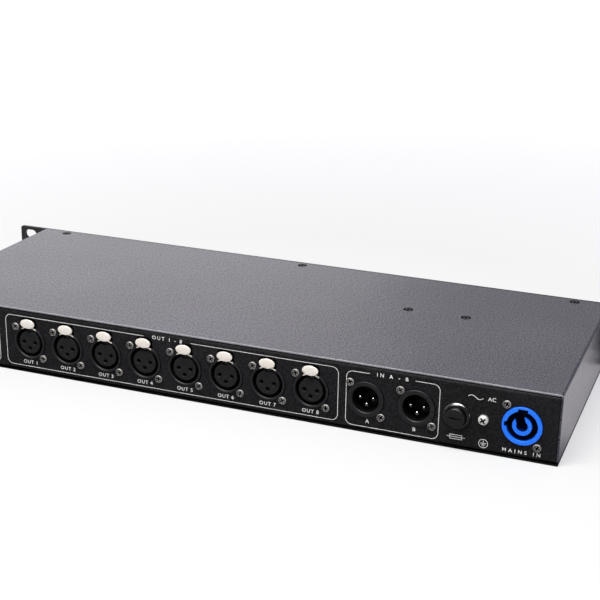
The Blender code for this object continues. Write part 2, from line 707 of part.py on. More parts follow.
def make_front_channel():
    path = [(Y_CHANNEL_BACK + CHANNEL_FLANGE, Z_SHEET_LOW), (Y_COVER_FRONT, Z_SHEET_LOW),
            (Y_COVER_FRONT, Z_SHEET_HIGH), (Y_CHANNEL_BACK + CHANNEL_FLANGE, Z_SHEET_HIGH)]
    sheet = bent_sheet(path, 2 * X_INNER, CHANNEL_T, BEND_RADIUS, "X", -1.0)
    width, height = WINDOW_SIZE
    grow = 2 * (DISPLAY_MARGIN + SEAT_GAP)
    loops = [round_rect(WINDOW_X, FRONT_MID_Z, width + grow, height + grow, SEAT_GAP, 2)]
    for xs, reach in ((BUTTON_XS, BUTTON_FLANGE_R), (LIGHT_XS, LIGHT_R)):
        room = 2 * (reach + 2 * SEAT_GAP)
        middle = (xs[0] + xs[-1]) / 2
        loops.append(round_rect(middle, FRONT_MID_Z, xs[-1] - xs[0] + room, room, room / 4, 2))
    tool = outline_solid(loops, Y_COVER_FRONT - CHANNEL_T, Y_CHANNEL_BACK + CHANNEL_T)
    holes = [circle(x, Y_REAR - COVER_SCREW_REACH, COVER_SCREW_R, 8) for x in COVER_SCREW_X]
    drill = outline_solid(holes, Z_SHEET_HIGH - 2 * CHANNEL_T, Z_SHEET_HIGH + CHANNEL_T, "XY")
    sheet = cut(sheet, [tool, drill])
    studs = []
    for x, z in front_stud_places():
        stud = rod(STUD_R, Y_CHANNEL_BACK - CHANNEL_T / 2, Y_FRONT_BOARD - SEAT_GAP, 8)
        studs.append(moved(stud, (x, 0.0, z)))
    add_object("front_channel", join(sheet, studs), POWDER_COAT)


# Output sockets: a moulded shell, a contact insert and a metal push latch each
def output_shell_mesh():
    """Shell about the socket's axis, with Y = 0 on the outer face of the rear panel."""
    back = FLANGE_FACE - SOCKET_FLANGE_T
    height = SOCKET_FLANGE_BELOW + SOCKET_FLANGE_ABOVE
    middle = (SOCKET_FLANGE_ABOVE - SOCKET_FLANGE_BELOW) / 2
    outline = round_rect(0.0, middle, SOCKET_FLANGE_W, height, FLANGE_CORNER_R, 2)
    flange = outline_solid([outline], back, FLANGE_FACE)
    step = (back + FLANGE_FACE) / 2
    barrel = rod(SOCKET_NOSE_R, -SOCKET_BODY_DEPTH, SOCKET_PROUD, ROUND_SIDES)
    wall = NOTCH_HALF_W + LATCH_HOUSING_WALL
    housing_top = NOTCH_TOP + LATCH_HOUSING_WALL / 2
    housing_end = LATCH_CHANNEL_END - LATCH_HOUSING_WALL
    housing = block((-wall, housing_end, 0.0), (wall, step, housing_top))
    solid = join(flange, [barrel, housing])
    bore = rod(SOCKET_BORE_R, -SOCKET_BORE_DEPTH, 2 * SOCKET_PROUD, ROUND_SIDES)
    channel = block((-NOTCH_HALF_W, LATCH_CHANNEL_END, SOCKET_BORE_R / 2),
                    (NOTCH_HALF_W, 2 * SOCKET_PROUD, NOTCH_TOP))
    return cut(solid, [bore, channel])


def output_insert_mesh():
    """Contact insert that stands on the floor of the bore."""
    low = -SOCKET_BORE_DEPTH + SEAT_GAP
    body = rod(INSERT_R, low, INSERT_PROUD, ROUND_SIDES)
    loops = []
    for quarter in (0, 2, 3):
        turn = quarter * math.pi / 2
        place = (CONTACT_CIRCLE_R * math.cos(turn), CONTACT_CIRCLE_R * math.sin(turn))
        loops.append(circle(*place, CONTACT_HOLE_R, 6))
    drill = outline_solid(loops, INSERT_PROUD - CONTACT_HOLE_DEPTH, 4 * INSERT_PROUD)
    return cut(body, [drill])


def push_latch_mesh():
    """Push latch: an oval thumb plate on a stem, with a lip that closes the nose and a hook."""
    wide = LATCH_WIDTH / 2
    profile = [(0.0, LATCH_PROUD), (wide - LATCH_EDGE, LATCH_PROUD), (wide, LATCH_PROUD - LATCH_EDGE),
               (wide, LATCH_BACK), (0.0, LATCH_BACK)]
    plate = turned(profile, 16)
    plate.transform(Matrix.Diagonal((1.0, 1.0, (LATCH_HIGH - LATCH_LOW) / LATCH_WIDTH, 1.0)))
    moved(plate, (0.0, 0.0, (LATCH_LOW + LATCH_HIGH) / 2))
    stem_low = LATCH_LOW + LATCH_STEM_INSET
    stem = block((-LATCH_STEM_W / 2, LATCH_BACK - LATCH_STEM_LENGTH, stem_low),
                 (LATCH_STEM_W / 2, LATCH_BACK + LATCH_LAP, LATCH_HIGH - LATCH_STEM_INSET))
    right = (math.pi - LATCH_LIP_SWEEP) / 2
    left = right + LATCH_LIP_SWEEP
    outer = arc(0.0, 0.0, LATCH_LIP_R + LATCH_LIP_T, right, left, 4)
    inner = arc(0.0, 0.0, LATCH_LIP_R, left, right, 4)
    lip = outline_solid([outer + inner], *LATCH_LIP_REACH)
    hook_back, hook_front = LATCH_HOOK_REACH
    web = block((-LATCH_WEB_W / 2, hook_front - LATCH_LAP, LATCH_LIP_R + LATCH_LIP_T / 2),
                (LATCH_WEB_W / 2, LATCH_LIP_REACH[1] / 2, stem_low + LATCH_LAP))
    hook = block((-LATCH_HOOK_W / 2, hook_back, INSERT_R + SLIDE_GAP / 2),
                 (LATCH_HOOK_W / 2, hook_front, stem_low + 2 * LATCH_LAP))
    return join(plate, [stem, lip, web, hook])


def make_outputs():
    shell, insert, latch = output_shell_mesh(), output_insert_mesh(), push_latch_mesh()
    for number, x in enumerate(OUTPUT_X, start=1):
        place = (x, Y_REAR, ROW_Z)
        smooth(add_object(f"output_shell_{number}", shell, BLACK_PLASTIC, place))
        smooth(add_object(f"output_insert_{number}", insert, INSERT_PLASTIC, place))
        smooth(add_object(f"push_latch_{number}", latch, LATCH_METAL, place))


# Input sockets: a moulded shell and an insert with three pins each
def input_shell_mesh():
    back = FLANGE_FACE - SOCKET_FLANGE_T
    height = 2 * SOCKET_FLANGE_BELOW
    outline = round_rect(0.0, 0.0, SOCKET_FLANGE_W, height, FLANGE_CORNER_R, 2)
    flange = outline_solid([outline], back, FLANGE_FACE)
    floor = -(MALE_BORE_DEPTH + MALE_INSERT_T)
    barrel = rod(SOCKET_NOSE_R, -SOCKET_BODY_DEPTH, SOCKET_PROUD, ROUND_SIDES)
    mouth = MALE_MOUTH_R - MALE_BORE_R
    bore = turned([(0.0, 2 * SOCKET_PROUD), (MALE_MOUTH_R, 2 * SOCKET_PROUD), (MALE_MOUTH_R, SOCKET_PROUD),
                   (MALE_BORE_R, SOCKET_PROUD - 2 * mouth), (MALE_BORE_R, floor), (0.0, floor)], ROUND_SIDES)
    return cut(join(flange, [barrel]), [bore])


def input_insert_mesh():
    low = -(MALE_BORE_DEPTH + MALE_INSERT_T) + SEAT_GAP
    disc_r = MALE_BORE_R - SEAT_GAP
    disc = rod(disc_r, low, -MALE_BORE_DEPTH, ROUND_SIDES)
    pins = []
    for quarter in (0, 2, 3):
        turn = quarter * math.pi / 2
        tip = PIN_R / 2
        root = -MALE_BORE_DEPTH - MALE_INSERT_T / 2
        pin = turned([(0.0, -PIN_RECESS), (PIN_R - tip, -PIN_RECESS), (PIN_R, -PIN_RECESS - tip),
                      (PIN_R, root), (0.0, root)], 8)
        pins.append(moved(pin, (CONTACT_CIRCLE_R * math.cos(turn), 0.0, CONTACT_CIRCLE_R * math.sin(turn))))
    return join(disc, pins)


def make_inputs():
    shell, insert = input_shell_mesh(), input_insert_mesh()
    for letter, x in zip("ab", INPUT_X):
        place = (x, Y_REAR, ROW_Z)
        smooth(add_object(f"input_shell_{letter}", shell, BLACK_PLASTIC, place))
        smooth(add_object(f"input_pins_{letter}", insert, PIN_METAL, place))


# Mains inlet: a keyed round socket with an open ring inside
def make_mains_inlet():
    back = FLANGE_FACE - SOCKET_FLANGE_T
    outline = round_rect(0.0, 0.0, SOCKET_FLANGE_W, INLET_FLANGE_H, FLANGE_CORNER_R, 2)
    flange = outline_solid([outline], back, FLANGE_FACE)
    edge = INLET_PROUD / 2
    profile = [(0.0, INLET_PROUD), (INLET_NOSE_R - edge, INLET_PROUD), (INLET_NOSE_R, INLET_PROUD - edge),
               (INLET_NOSE_R, -INLET_BODY_DEPTH), (0.0, -INLET_BODY_DEPTH)]
    solid = join(flange, [turned(profile, 32)])
    over = 2 * INLET_PROUD
    ring = [(0.0, over), (INLET_BORE_R, over), (INLET_BORE_R, -INLET_BORE_DEPTH), (0.0, -INLET_BORE_DEPTH)]
    reach = INLET_BORE_R + INLET_KEY_DEPTH
    top_key = block((-INLET_KEY_W / 2, -INLET_BORE_DEPTH, INLET_BORE_R / 2), (INLET_KEY_W / 2, over, reach))
    side_key = block((INLET_BORE_R / 2, -INLET_BORE_DEPTH, -INLET_SIDE_KEY_W / 2),
                     (reach, over, INLET_SIDE_KEY_W / 2))
    solid = cut(solid, [turned(ring, 32), top_key, side_key])
    face = INLET_RING_PROUD
    floor = -INLET_BORE_DEPTH - INLET_LAP
    post = turned([(INLET_RING_BORE_R, face), (INLET_RING_R, face), (INLET_RING_R, floor),
                   (INLET_RING_BORE_R, floor), (INLET_RING_BORE_R, face)], ROUND_SIDES)
    gap = block((-INLET_RING_GAP / 2, -INLET_BORE_DEPTH, 0.0), (INLET_RING_GAP / 2, over, 2 * INLET_RING_R))
    post = cut(post, [gap])
    post.transform(Matrix.Rotation(INLET_RING_TURN, 4, "Y"))
    blades = []
    for x in (-BLADE_SPACING, 0.0, BLADE_SPACING):
        blades.append(block((x - BLADE_T / 2, -INLET_BODY_DEPTH - BLADE_LENGTH, -BLADE_W / 2),
                            (x + BLADE_T / 2, -INLET_BODY_DEPTH + INLET_LAP, BLADE_W / 2)))
    solid = join(solid, [post] + blades)
    smooth(add_object("mains_inlet", solid, INLET_BLUE, (INLET_X, Y_REAR, ROW_Z)))


# Fuse holder: body, screwdriver cap and the glass fuse that comes out with it
def make_fuse():
    place = (FUSE_X, Y_REAR, FUSE_Z)
    seat = SEAT_GAP
    round_off = FUSE_FLANGE_T - seat
    profile = [(FUSE_BORE_R + seat, FUSE_FLANGE_T)]
    profile += [(FUSE_FLANGE_R - round_off + round_off * math.sin(a), seat + round_off * math.cos(a))
                for a in [math.pi / 2 * i / 3 for i in range(4)]]
    profile += [(FUSE_BODY_R, seat), (FUSE_BODY_R, -FUSE_BODY_LENGTH), (0.0, -FUSE_BODY_LENGTH)]
    body = turned([(0.0, FUSE_FLANGE_T)] + profile, ROUND_SIDES)
    nut_high = -REAR_T - seat
    nut = outline_solid([circle(0.0, 0.0, FUSE_NUT_R, 6)], nut_high - FUSE_NUT_T, nut_high)
    body = join(body, [nut])
    cap_room = FUSE_CAP_R + seat
    link_room = FUSE_LINK_R + seat
    room_floor = -FUSE_PLUG_LENGTH - seat
    link_end = room_floor - FUSE_LINK_LENGTH - seat
    over = 2 * FUSE_FLANGE_T
    bore = turned([(0.0, over), (cap_room, over), (cap_room, 0.0), (FUSE_BORE_R, -seat),
                   (FUSE_BORE_R, room_floor), (link_room, room_floor), (link_room, link_end),
                   (0.0, link_end)], 16)
    body = cut(body, [bore])
    half_w, half_t = FUSE_LUG_W / 2, FUSE_LUG_T / 2
    end_lug = block((-half_w, -FUSE_BODY_LENGTH - FUSE_LUG_LENGTH, -half_t),
                    (half_w, -FUSE_BODY_LENGTH + FUSE_LUG_LAP, half_t))
    side_lug = block((-FUSE_BODY_R - FUSE_LUG_LENGTH, -FUSE_SIDE_LUG_REACH - half_w, -half_t),
                     (-FUSE_BODY_R + FUSE_LUG_LAP, -FUSE_SIDE_LUG_REACH + half_w, half_t))
    smooth(add_object("fuse_holder", join(body, [end_lug, side_lug]), BLACK_PLASTIC, place))
    edge = FUSE_CAP_EDGE
    proud = FUSE_CAP_PROUD
    cap = turned([(0.0, proud), (FUSE_CAP_R - edge, proud), (FUSE_CAP_R, proud - edge),
                  (FUSE_CAP_R, 2 * seat), (FUSE_PLUG_R, seat), (FUSE_PLUG_R, -FUSE_PLUG_LENGTH),
                  (0.0, -FUSE_PLUG_LENGTH)], ROUND_SIDES)
    slot = block((-FUSE_CAP_SLOT_L / 2, proud - FUSE_CAP_SLOT_DEPTH, -FUSE_CAP_SLOT_W / 2),
                 (FUSE_CAP_SLOT_L / 2, 2 * proud, FUSE_CAP_SLOT_W / 2))
    smooth(add_object("fuse_cap", cut(cap, [slot]), BLACK_PLASTIC, place))
    top = -FUSE_PLUG_LENGTH - seat
    low = top - FUSE_LINK_LENGTH + seat
    band = FUSE_BAND_LENGTH
    neck = FUSE_LINK_R - FUSE_BAND_STEP
    link = turned([(0.0, top), (FUSE_LINK_R, top), (FUSE_LINK_R, top - band), (neck, top - band),
                   (neck, low + band), (FUSE_LINK_R, low + band), (FUSE_LINK_R, low), (0.0, low)], 12)
    smooth(add_object("fuse_link", link, GLASS_TUBE, place))


# Earthing screw with its nut inside
def make_ground_screw():
    head_low = SEAT_GAP
    top = head_low + GROUND_HEAD_H
    profile = [(0.0, top), (GROUND_HEAD_R / 2, top - GROUND_DOME / 4), (GROUND_HEAD_R, top - GROUND_DOME),
               (GROUND_HEAD_R, head_low), (GROUND_SHANK_R, head_low), (GROUND_SHANK_R, -GROUND_LENGTH),
               (0.0, -GROUND_LENGTH)]
    screw = turned(profile, 16)
    depth = top - GROUND_CROSS_DEPTH
    wide, thin = GROUND_CROSS_L / 2, GROUND_CROSS_T / 2
    over = 2 * top
    cross = [block((-half_x, depth, -half_z), (half_x, over, half_z))
             for half_x, half_z in ((wide, thin), (thin, wide))]
    screw = cut(screw, cross)
    nut_high = -REAR_T - SEAT_GAP
    nut = outline_solid([circle(0.0, 0.0, GROUND_NUT_R, 6)], nut_high - GROUND_NUT_T, nut_high)
    screw = join(screw, [nut])
    smooth(add_object("ground_screw", screw, STEEL, (GROUND_X, Y_REAR, ROW_Z)))


# Network jacks on the main board
def jack_mesh():
    """Jack with its mouth at Y = 0 side out, standing on Z = 0."""
    half = JACK_W / 2
    shell = block((-half, -JACK_DEPTH, 0.0), (half, JACK_PROUD, JACK_H))
    shell = bevelled(shell, JACK_EDGE, 1)
    over = 2 * JACK_PROUD
    floor = JACK_FLOOR
    end = -JACK_MOUTH_DEPTH
    mouth = block((-JACK_MOUTH_W / 2, end, floor), (JACK_MOUTH_W / 2, over, floor + JACK_MOUTH_H))
    key = block((-JACK_KEY_W / 2, end, floor - JACK_KEY_H), (JACK_KEY_W / 2, over, floor + JACK_KEY_H))
    low = floor - JACK_KEY_H - JACK_CATCH_H
    catch = block((-JACK_CATCH_W / 2, end, low), (JACK_CATCH_W / 2, over, floor))
    return cut(shell, [mouth, key, catch])


def make_jacks():
    mesh = jack_mesh()
    for number, x in enumerate(JACK_X, start=1):
        add_object(f"network_jack_{number}", mesh, JACK_METAL, (x, Y_REAR, BOARD_TOP + SEAT_GAP))


# Main board with a line driver for each socket, a processor and headers
def make_main_board():
    x0, x1 = MAIN_BOARD_X
    y0, y1 = Y_REAR - MAIN_BOARD_REACH[1], Y_REAR - MAIN_BOARD_REACH[0]
    board = block((x0, y0, BOARD_Z), (x1, y1, BOARD_TOP))
    chips = []

    def chip(x, reach, size):
        width, depth, height = size
        y = Y_REAR - reach
        chips.append(block((x - width / 2, y - depth / 2, BOARD_TOP - BOARD_T / 2),
                           (x + width / 2, y + depth / 2, BOARD_TOP + height)))

    for x in OUTPUT_X + INPUT_X:
        chip(x, DRIVER_REACH, DRIVER_SIZE)
        chip(x, ISOLATOR_REACH, ISOLATOR_SIZE)
    for place, size in ((PROCESSOR_PLACE, PROCESSOR_SIZE), (MAGNETICS_PLACE, MAGNETICS_SIZE),
                        (MEMORY_PLACE, MEMORY_SIZE)):
        chip(NETWORK_END - place[0], place[1], size)
    header_w = RIBBON_W + 2 * RIBBON_HEADER_MARGIN
    chip(RIBBON_X, Y_REAR - RIBBON_Y, (header_w, RIBBON_HEADER_DEPTH, RIBBON_HEADER_H))
    chip(x0 + SUPPLY_HEADER_PLACE[0], SUPPLY_HEADER_PLACE[1], SUPPLY_HEADER_SIZE)
    add_object("main_board", join(board, chips), BOARD_GREEN)


# Power supply: board, transformer, smoothing capacitor and heat sink
def terminal_corner():
    """The corner of the mains terminal block that is nearest the side wall and the rear panel."""
    return SUPPLY_BOARD_X[0] + TERMINAL_INSET[0], Y_REAR - SUPPLY_BOARD_REACH[0] - TERMINAL_INSET[1]


def make_power_supply():
    x0, x1 = SUPPLY_BOARD_X
    y0, y1 = Y_REAR - SUPPLY_BOARD_REACH[1], Y_REAR - SUPPLY_BOARD_REACH[0]
    board = block((x0, y0, BOARD_Z), (x1, y1, BOARD_TOP))
    low = BOARD_TOP - BOARD_T / 2
    t_x, t_y = terminal_corner()
    w, d, h = TERMINAL_SIZE
    terminal = block((t_x, t_y - d, low), (t_x + w, t_y, BOARD_TOP + h))
    w, d, h = SUPPLY_HEADER_SIZE
    h_x, h_y = x1 - SUPPLY_PART_SPACING - w, y0 + SUPPLY_PART_SPACING
    header = block((h_x, h_y, low), (h_x + w, h_y + d, BOARD_TOP + h))
    add_object("power_supply_board", join(board, [terminal, header]), BOARD_GREEN)
    seat = BOARD_TOP + SEAT_GAP
    mid_x = (x0 + x1) / 2
    mid_y = (y0 + y1) / 2
    w, d, h = TRANSFORMER_SIZE
    core = block((mid_x - w / 2, mid_y - d / 2, seat), (mid_x + w / 2, mid_y + d / 2, seat + h))
    grow = TRANSFORMER_WINDING_T
    winding = block((mid_x - w / 2 - grow, mid_y - d / 3, seat + grow),
                    (mid_x + w / 2 + grow, mid_y + d / 3, seat + h - grow))
    winding = bevelled(winding, grow - SEAT_GAP, 2)
    add_object("transformer", join(core, [winding]), CORE_YELLOW)
    shoulder = CAPACITOR_H - CAPACITOR_EDGE
    cap = turned([(0.0, CAPACITOR_H), (CAPACITOR_R - CAPACITOR_EDGE, CAPACITOR_H), (CAPACITOR_R, shoulder),
                  (CAPACITOR_R, 0.0), (0.0, 0.0)], ROUND_SIDES, "Z")
    room = CAPACITOR_R + SUPPLY_PART_SPACING
    cap_place = (x1 - room, mid_y + TRANSFORMER_SIZE[1] / 2 + room, seat)
    smooth(add_object("smoothing_capacitor", cap, SLEEVE_BLACK, cap_place))
    sink_mid = mid_y - d / 2 - SUPPLY_PART_SPACING - HEAT_SINK_SIZE[1] / 2
    make_heat_sink(x0 + 2 * SUPPLY_PART_SPACING, sink_mid, seat)


def make_heat_sink(x, mid_y, seat):
    """Extruded comb that stands on the board with its fins towards the middle of the case."""
    width, length, height = HEAT_SINK_SIZE
    start = mid_y - length / 2
    step = (length - HEAT_SINK_FIN_T) / (HEAT_SINK_FINS - 1)
    comb = [(x, start + length), (x, start)]
    for i in range(HEAT_SINK_FINS):
        low = start + step * i
        root = x + HEAT_SINK_BASE_T
        if i > 0:
            comb.append((root, low))
        comb += [(x + width, low), (x + width, low + HEAT_SINK_FIN_T)]
        if i < HEAT_SINK_FINS - 1:
            comb.append((root, low + HEAT_SINK_FIN_T))
    add_object("heat_sink", outline_solid([comb], seat, seat + height, "XY"), ALUMINIUM)


# Hexagonal pillars under the middle screws of the cover
def make_cover_pillars():
    radius = PILLAR_ACROSS / math.sqrt(3)
    for number, x in enumerate(PILLAR_X, start=1):
        y = Y_REAR - PILLAR_REACH
        pillar = outline_solid([circle(0.0, 0.0, radius, 6)], Z_SHEET_LOW, Z_SHEET_HIGH, "XY")
        bore = rod(COVER_SCREW_R - SEAT_GAP, Z_SHEET_HIGH - PILLAR_THREAD_DEPTH, CASE_HEIGHT, 8, "Z")
        add_object(f"cover_pillar_{number}", cut(pillar, [bore]), STEEL, (x, y, 0.0))


# Front board with its switches and lamps, the display and the window
def make_front_board():
    x0, x1 = FRONT_BOARD_X
    z0, z1 = FRONT_MID_Z - FRONT_BOARD_H / 2, FRONT_MID_Z + FRONT_BOARD_H / 2
    face = Y_FRONT_BOARD
    board = block((x0, face, z0), (x1, face + BOARD_T, z1))
    into = face + BOARD_T / 2
    extras = []
    for xs, size, front in ((BUTTON_XS, SWITCH_SIZE, SWITCH_FACE), (LIGHT_XS, LAMP_SIZE, face - LAMP_H)):
        low, high = FRONT_MID_Z - size / 2, FRONT_MID_Z + size / 2
        for x in xs:
            extras.append(block((x - size / 2, front, low), (x + size / 2, into, high)))
    half_w = RIBBON_W / 2 + RIBBON_HEADER_MARGIN
    half_h = RIBBON_HEADER_DEPTH / 2
    extras.append(block((RIBBON_X - half_w, into, FRONT_MID_Z - half_h),
                        (RIBBON_X + half_w, face + BOARD_T + RIBBON_HEADER_H, FRONT_MID_Z + half_h)))
    add_object("front_board", join(board, extras), BOARD_GREEN)


def make_display():
    width, height = WINDOW_SIZE
    window = outline_solid([round_rect(0.0, 0.0, width, height, 4 * SEAT_GAP)], 0.0, WINDOW_T)
    add_object("display_window", window, GLASS, (WINDOW_X, Y_FRONT + SEAT_GAP, FRONT_MID_Z))
    half_w, half_h = width / 2 + DISPLAY_MARGIN, height / 2 + DISPLAY_MARGIN
    module = block((WINDOW_X - half_w, Y_DISPLAY, FRONT_MID_Z - half_h),
                   (WINDOW_X + half_w, Y_DISPLAY + DISPLAY_T, FRONT_MID_Z + half_h))
    add_object("display_module", module, DISPLAY_GREY)


def make_buttons():
    flange_low = FRONT_PANEL_T + SEAT_GAP
    edge = BUTTON_EDGE
    profile = [(0.0, BUTTON_PROUD), (BUTTON_R - edge, BUTTON_PROUD), (BUTTON_R, BUTTON_PROUD - edge),
               (BUTTON_R, -flange_low), (BUTTON_FLANGE_R, -flange_low),
               (BUTTON_FLANGE_R, -flange_low - BUTTON_FLANGE_T), (0.0, -flange_low - BUTTON_FLANGE_T)]
    mesh = turned(profile, 12)
    mesh.transform(Matrix.Rotation(math.pi, 4, "Z"))
    for number, x in enumerate(BUTTON_XS, start=1):
        smooth(add_object(f"button_{number}", mesh, BUTTON_BLACK, (x, Y_FRONT, FRONT_MID_Z)))


def make_light_guide():
    low_x, high_x = LIGHT_XS[0] - LIGHT_BAR_H / 2, LIGHT_XS[-1] + LIGHT_BAR_H / 2
    front = Y_CHANNEL_BACK + SEAT_GAP
    back = Y_FRONT_BOARD - LAMP_H - SEAT_GAP
    bar = block((low_x, front, FRONT_MID_Z - LIGHT_BAR_H / 2), (high_x, back, FRONT_MID_Z + LIGHT_BAR_H / 2))
    posts = []
    for x in LIGHT_XS:
        post = rod(LIGHT_R, Y_FRONT - LIGHT_PROUD, (front + back) / 2, 6)
        posts.append(moved(post, (x, 0.0, FRONT_MID_Z)))
    smooth(add_object("light_guide", join(bar, posts), GUIDE_CLEAR))


# Flat cable from the front board back to the main board
def make_ribbon_cable():
    start = Y_FRONT_BOARD + BOARD_T + RIBBON_HEADER_H + SEAT_GAP
    bend_y = RIBBON_Y + RIBBON_T / 2
    path = [(start, FRONT_MID_Z + RIBBON_T / 2), (bend_y, FRONT_MID_Z + RIBBON_T / 2),
            (bend_y, BOARD_TOP + RIBBON_HEADER_H + SEAT_GAP)]
    sheet = bent_sheet(path, RIBBON_W, RIBBON_T, RIBBON_BEND, "X", 1.0)
    add_object("ribbon_cable", moved(sheet, (RIBBON_X, 0.0, 0.0)), RIBBON_GREY)


# Mains leads from the inlet to the fuse, the earthing screw and the supply board
def smooth_route(points, steps=4):
    """A smooth line through the points of a route, sampled between them."""
    padded = [2 * points[0] - points[1]] + points + [2 * points[-1] - points[-2]]
    route = []
    for a, b, c, d in zip(padded, padded[1:], padded[2:], padded[3:]):
        reach = (c - b).length
        leave, arrive = (c - a).normalized() * reach, (d - b).normalized() * reach
        for i in range(steps):
            t = i / steps
            route.append(b * (1 + 2 * t) * (1 - t) ** 2 + leave * t * (1 - t) ** 2
                         + c * t ** 2 * (3 - 2 * t) + arrive * t ** 2 * (t - 1))
    return route + [points[-1]]


def make_lead(name, start, leave, end, arrive, over, mat):
    """A round lead that leaves one terminal straight, and arrives straight at the other."""
    start, end = Vector(start), Vector(end)
    leave, arrive = Vector(leave), Vector(arrive)
    start, end = start + leave * SEAT_GAP, end - arrive * SEAT_GAP
    route = smooth_route([start, start + leave * LEAD_STUB] + over + [end - arrive * LEAD_STUB, end], 3)
    curve = bpy.data.curves.new(name, "CURVE")
    curve.dimensions = "3D"
    curve.bevel_depth = LEAD_R
    curve.bevel_resolution = 2
    curve.use_fill_caps = True
    spline = curve.splines.new("POLY")
    spline.points.add(len(route) - 1)
    for point, place in zip(spline.points, route):
        point.co = (*place, 1.0)
    obj = shape_object(curve)
    mesh = evaluated_mesh(obj)
    bpy.data.objects.remove(obj, do_unlink=True)
    smooth(add_object(name, mesh, mat))


def make_leads():
    blade_end = Y_REAR - INLET_BODY_DEPTH - BLADE_LENGTH
    neutral, earth, live = [(INLET_X + BLADE_SPACING * i, blade_end, ROW_Z) for i in (-1, 0, 1)]
    end_lug = (FUSE_X, Y_REAR - FUSE_BODY_LENGTH - FUSE_LUG_LENGTH, FUSE_Z)
    side_lug = (FUSE_X - FUSE_BODY_R - FUSE_LUG_LENGTH, Y_REAR - FUSE_SIDE_LUG_REACH, FUSE_Z)
    shank_end = (GROUND_X, Y_REAR - GROUND_LENGTH, ROW_Z)
    t_x, t_y = terminal_corner()
    clamp_x = t_x + TERMINAL_SIZE[0] / 2
    clamp_z = BOARD_TOP + TERMINAL_Z
    ahead, back = (0.0, -1.0, 0.0), (0.0, 1.0, 0.0)
    loop_y = min(blade_end, end_lug[1]) - 3 * LEAD_STUB
    loop = [Vector(((INLET_X + FUSE_X) / 2, loop_y, ROW_Z))]
    make_lead("live_lead", live, ahead, end_lug, back, loop, LEAD_BROWN)
    make_lead("fused_lead", side_lug, (-1.0, 0.0, 0.0), (clamp_x + TERMINAL_PITCH, t_y, clamp_z), ahead, [],
              LEAD_BROWN)
    make_lead("neutral_lead", neutral, ahead, (clamp_x - TERMINAL_PITCH, t_y, clamp_z), ahead, [], LEAD_BLUE)
    arch_z = ROW_Z + INLET_NOSE_R
    arch = [Vector(((INLET_X + GROUND_X) / 2, blade_end, arch_z))]
    make_lead("earth_lead", earth, ahead, shank_end, back, arch, LEAD_GREEN)


make_base_plate()
make_top_cover()
make_rear_panel()
make_front_panel()
make_front_channel()
make_outputs()
make_inputs()
make_mains_inlet()
make_fuse()
make_ground_screw()
make_jacks()
make_main_board()
make_power_supply()
make_cover_pillars()
make_front_board()
make_display()
make_buttons()
make_light_guide()
make_ribbon_cable()
make_leads()
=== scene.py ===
# A one unit rack box for lighting data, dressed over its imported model. Metres, +Z up, the rack
# face towards -Y and the connectors towards +Y.
import math

import bmesh
import bpy
from mathutils import Matrix, Quaternion, Vector


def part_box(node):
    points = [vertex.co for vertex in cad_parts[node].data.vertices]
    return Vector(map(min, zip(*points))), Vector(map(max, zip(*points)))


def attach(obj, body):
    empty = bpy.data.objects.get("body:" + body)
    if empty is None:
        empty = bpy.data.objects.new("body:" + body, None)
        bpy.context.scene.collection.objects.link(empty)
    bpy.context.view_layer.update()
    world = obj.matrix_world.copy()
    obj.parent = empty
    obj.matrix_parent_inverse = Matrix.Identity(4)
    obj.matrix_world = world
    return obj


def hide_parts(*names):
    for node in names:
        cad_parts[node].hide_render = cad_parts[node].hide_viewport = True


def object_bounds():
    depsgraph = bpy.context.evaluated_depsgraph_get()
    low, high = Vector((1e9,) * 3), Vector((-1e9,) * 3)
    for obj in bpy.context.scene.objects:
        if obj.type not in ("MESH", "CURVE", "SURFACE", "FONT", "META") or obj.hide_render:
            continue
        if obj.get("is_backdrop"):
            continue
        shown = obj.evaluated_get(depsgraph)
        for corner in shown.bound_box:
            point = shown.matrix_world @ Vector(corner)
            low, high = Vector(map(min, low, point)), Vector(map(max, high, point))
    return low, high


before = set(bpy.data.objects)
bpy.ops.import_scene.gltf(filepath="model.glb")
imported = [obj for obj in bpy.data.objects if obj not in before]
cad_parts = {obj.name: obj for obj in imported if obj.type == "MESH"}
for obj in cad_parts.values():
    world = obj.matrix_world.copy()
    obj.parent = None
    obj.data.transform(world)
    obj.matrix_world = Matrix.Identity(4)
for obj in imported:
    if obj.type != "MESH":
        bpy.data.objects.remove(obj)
cad_low, cad_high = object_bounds()

# Camera, floor and lights. The camera stands behind the box and above its mains end, as in the
# photograph. The floor and the air are plain white, but in reflections they grow dim towards the
# connector side, so that the cover has its sheen and the rear panel stays dark.
scene = bpy.context.scene
scene.view_settings.view_transform = "Standard"

camera_data = bpy.data.cameras.new("camera")
camera_data.sensor_fit = "HORIZONTAL"
camera_data.sensor_width = 36.0
camera_data.lens = 76.9
camera_data.clip_start = 0.05
camera = bpy.data.objects.new("camera", camera_data)
scene.collection.objects.link(camera)
scene.camera = camera
camera.location = (-0.3168, 0.7473, 0.3286)
aim_point = Vector((-0.0607, 0.0823, 0.0779))
camera_roll = math.radians(0.97)
camera.rotation_mode = "QUATERNION"
aim = (aim_point - camera.location).to_track_quat("-Z", "Y")
camera.rotation_quaternion = aim @ Quaternion((0.0, 0.0, 1.0), camera_roll)


def new_material(name):
    """An empty node material with its Principled shader, as (material, tree, shader)."""
    mat = bpy.data.materials.new(name)
    mat.use_nodes = True
    return mat, mat.node_tree, mat.node_tree.nodes["Principled BSDF"]


def feed(source, target):
    """Sets an input to a value, or links an output or a node's first output in use to it."""
    if isinstance(source, bpy.types.Node):
        source = next(output for output in source.outputs if output.enabled)
    if isinstance(source, bpy.types.NodeSocket):
        target.id_data.links.new(source, target)
    elif target.type == "RGBA":
        target.default_value = (*source, 1.0)
    else:
        target.default_value = source


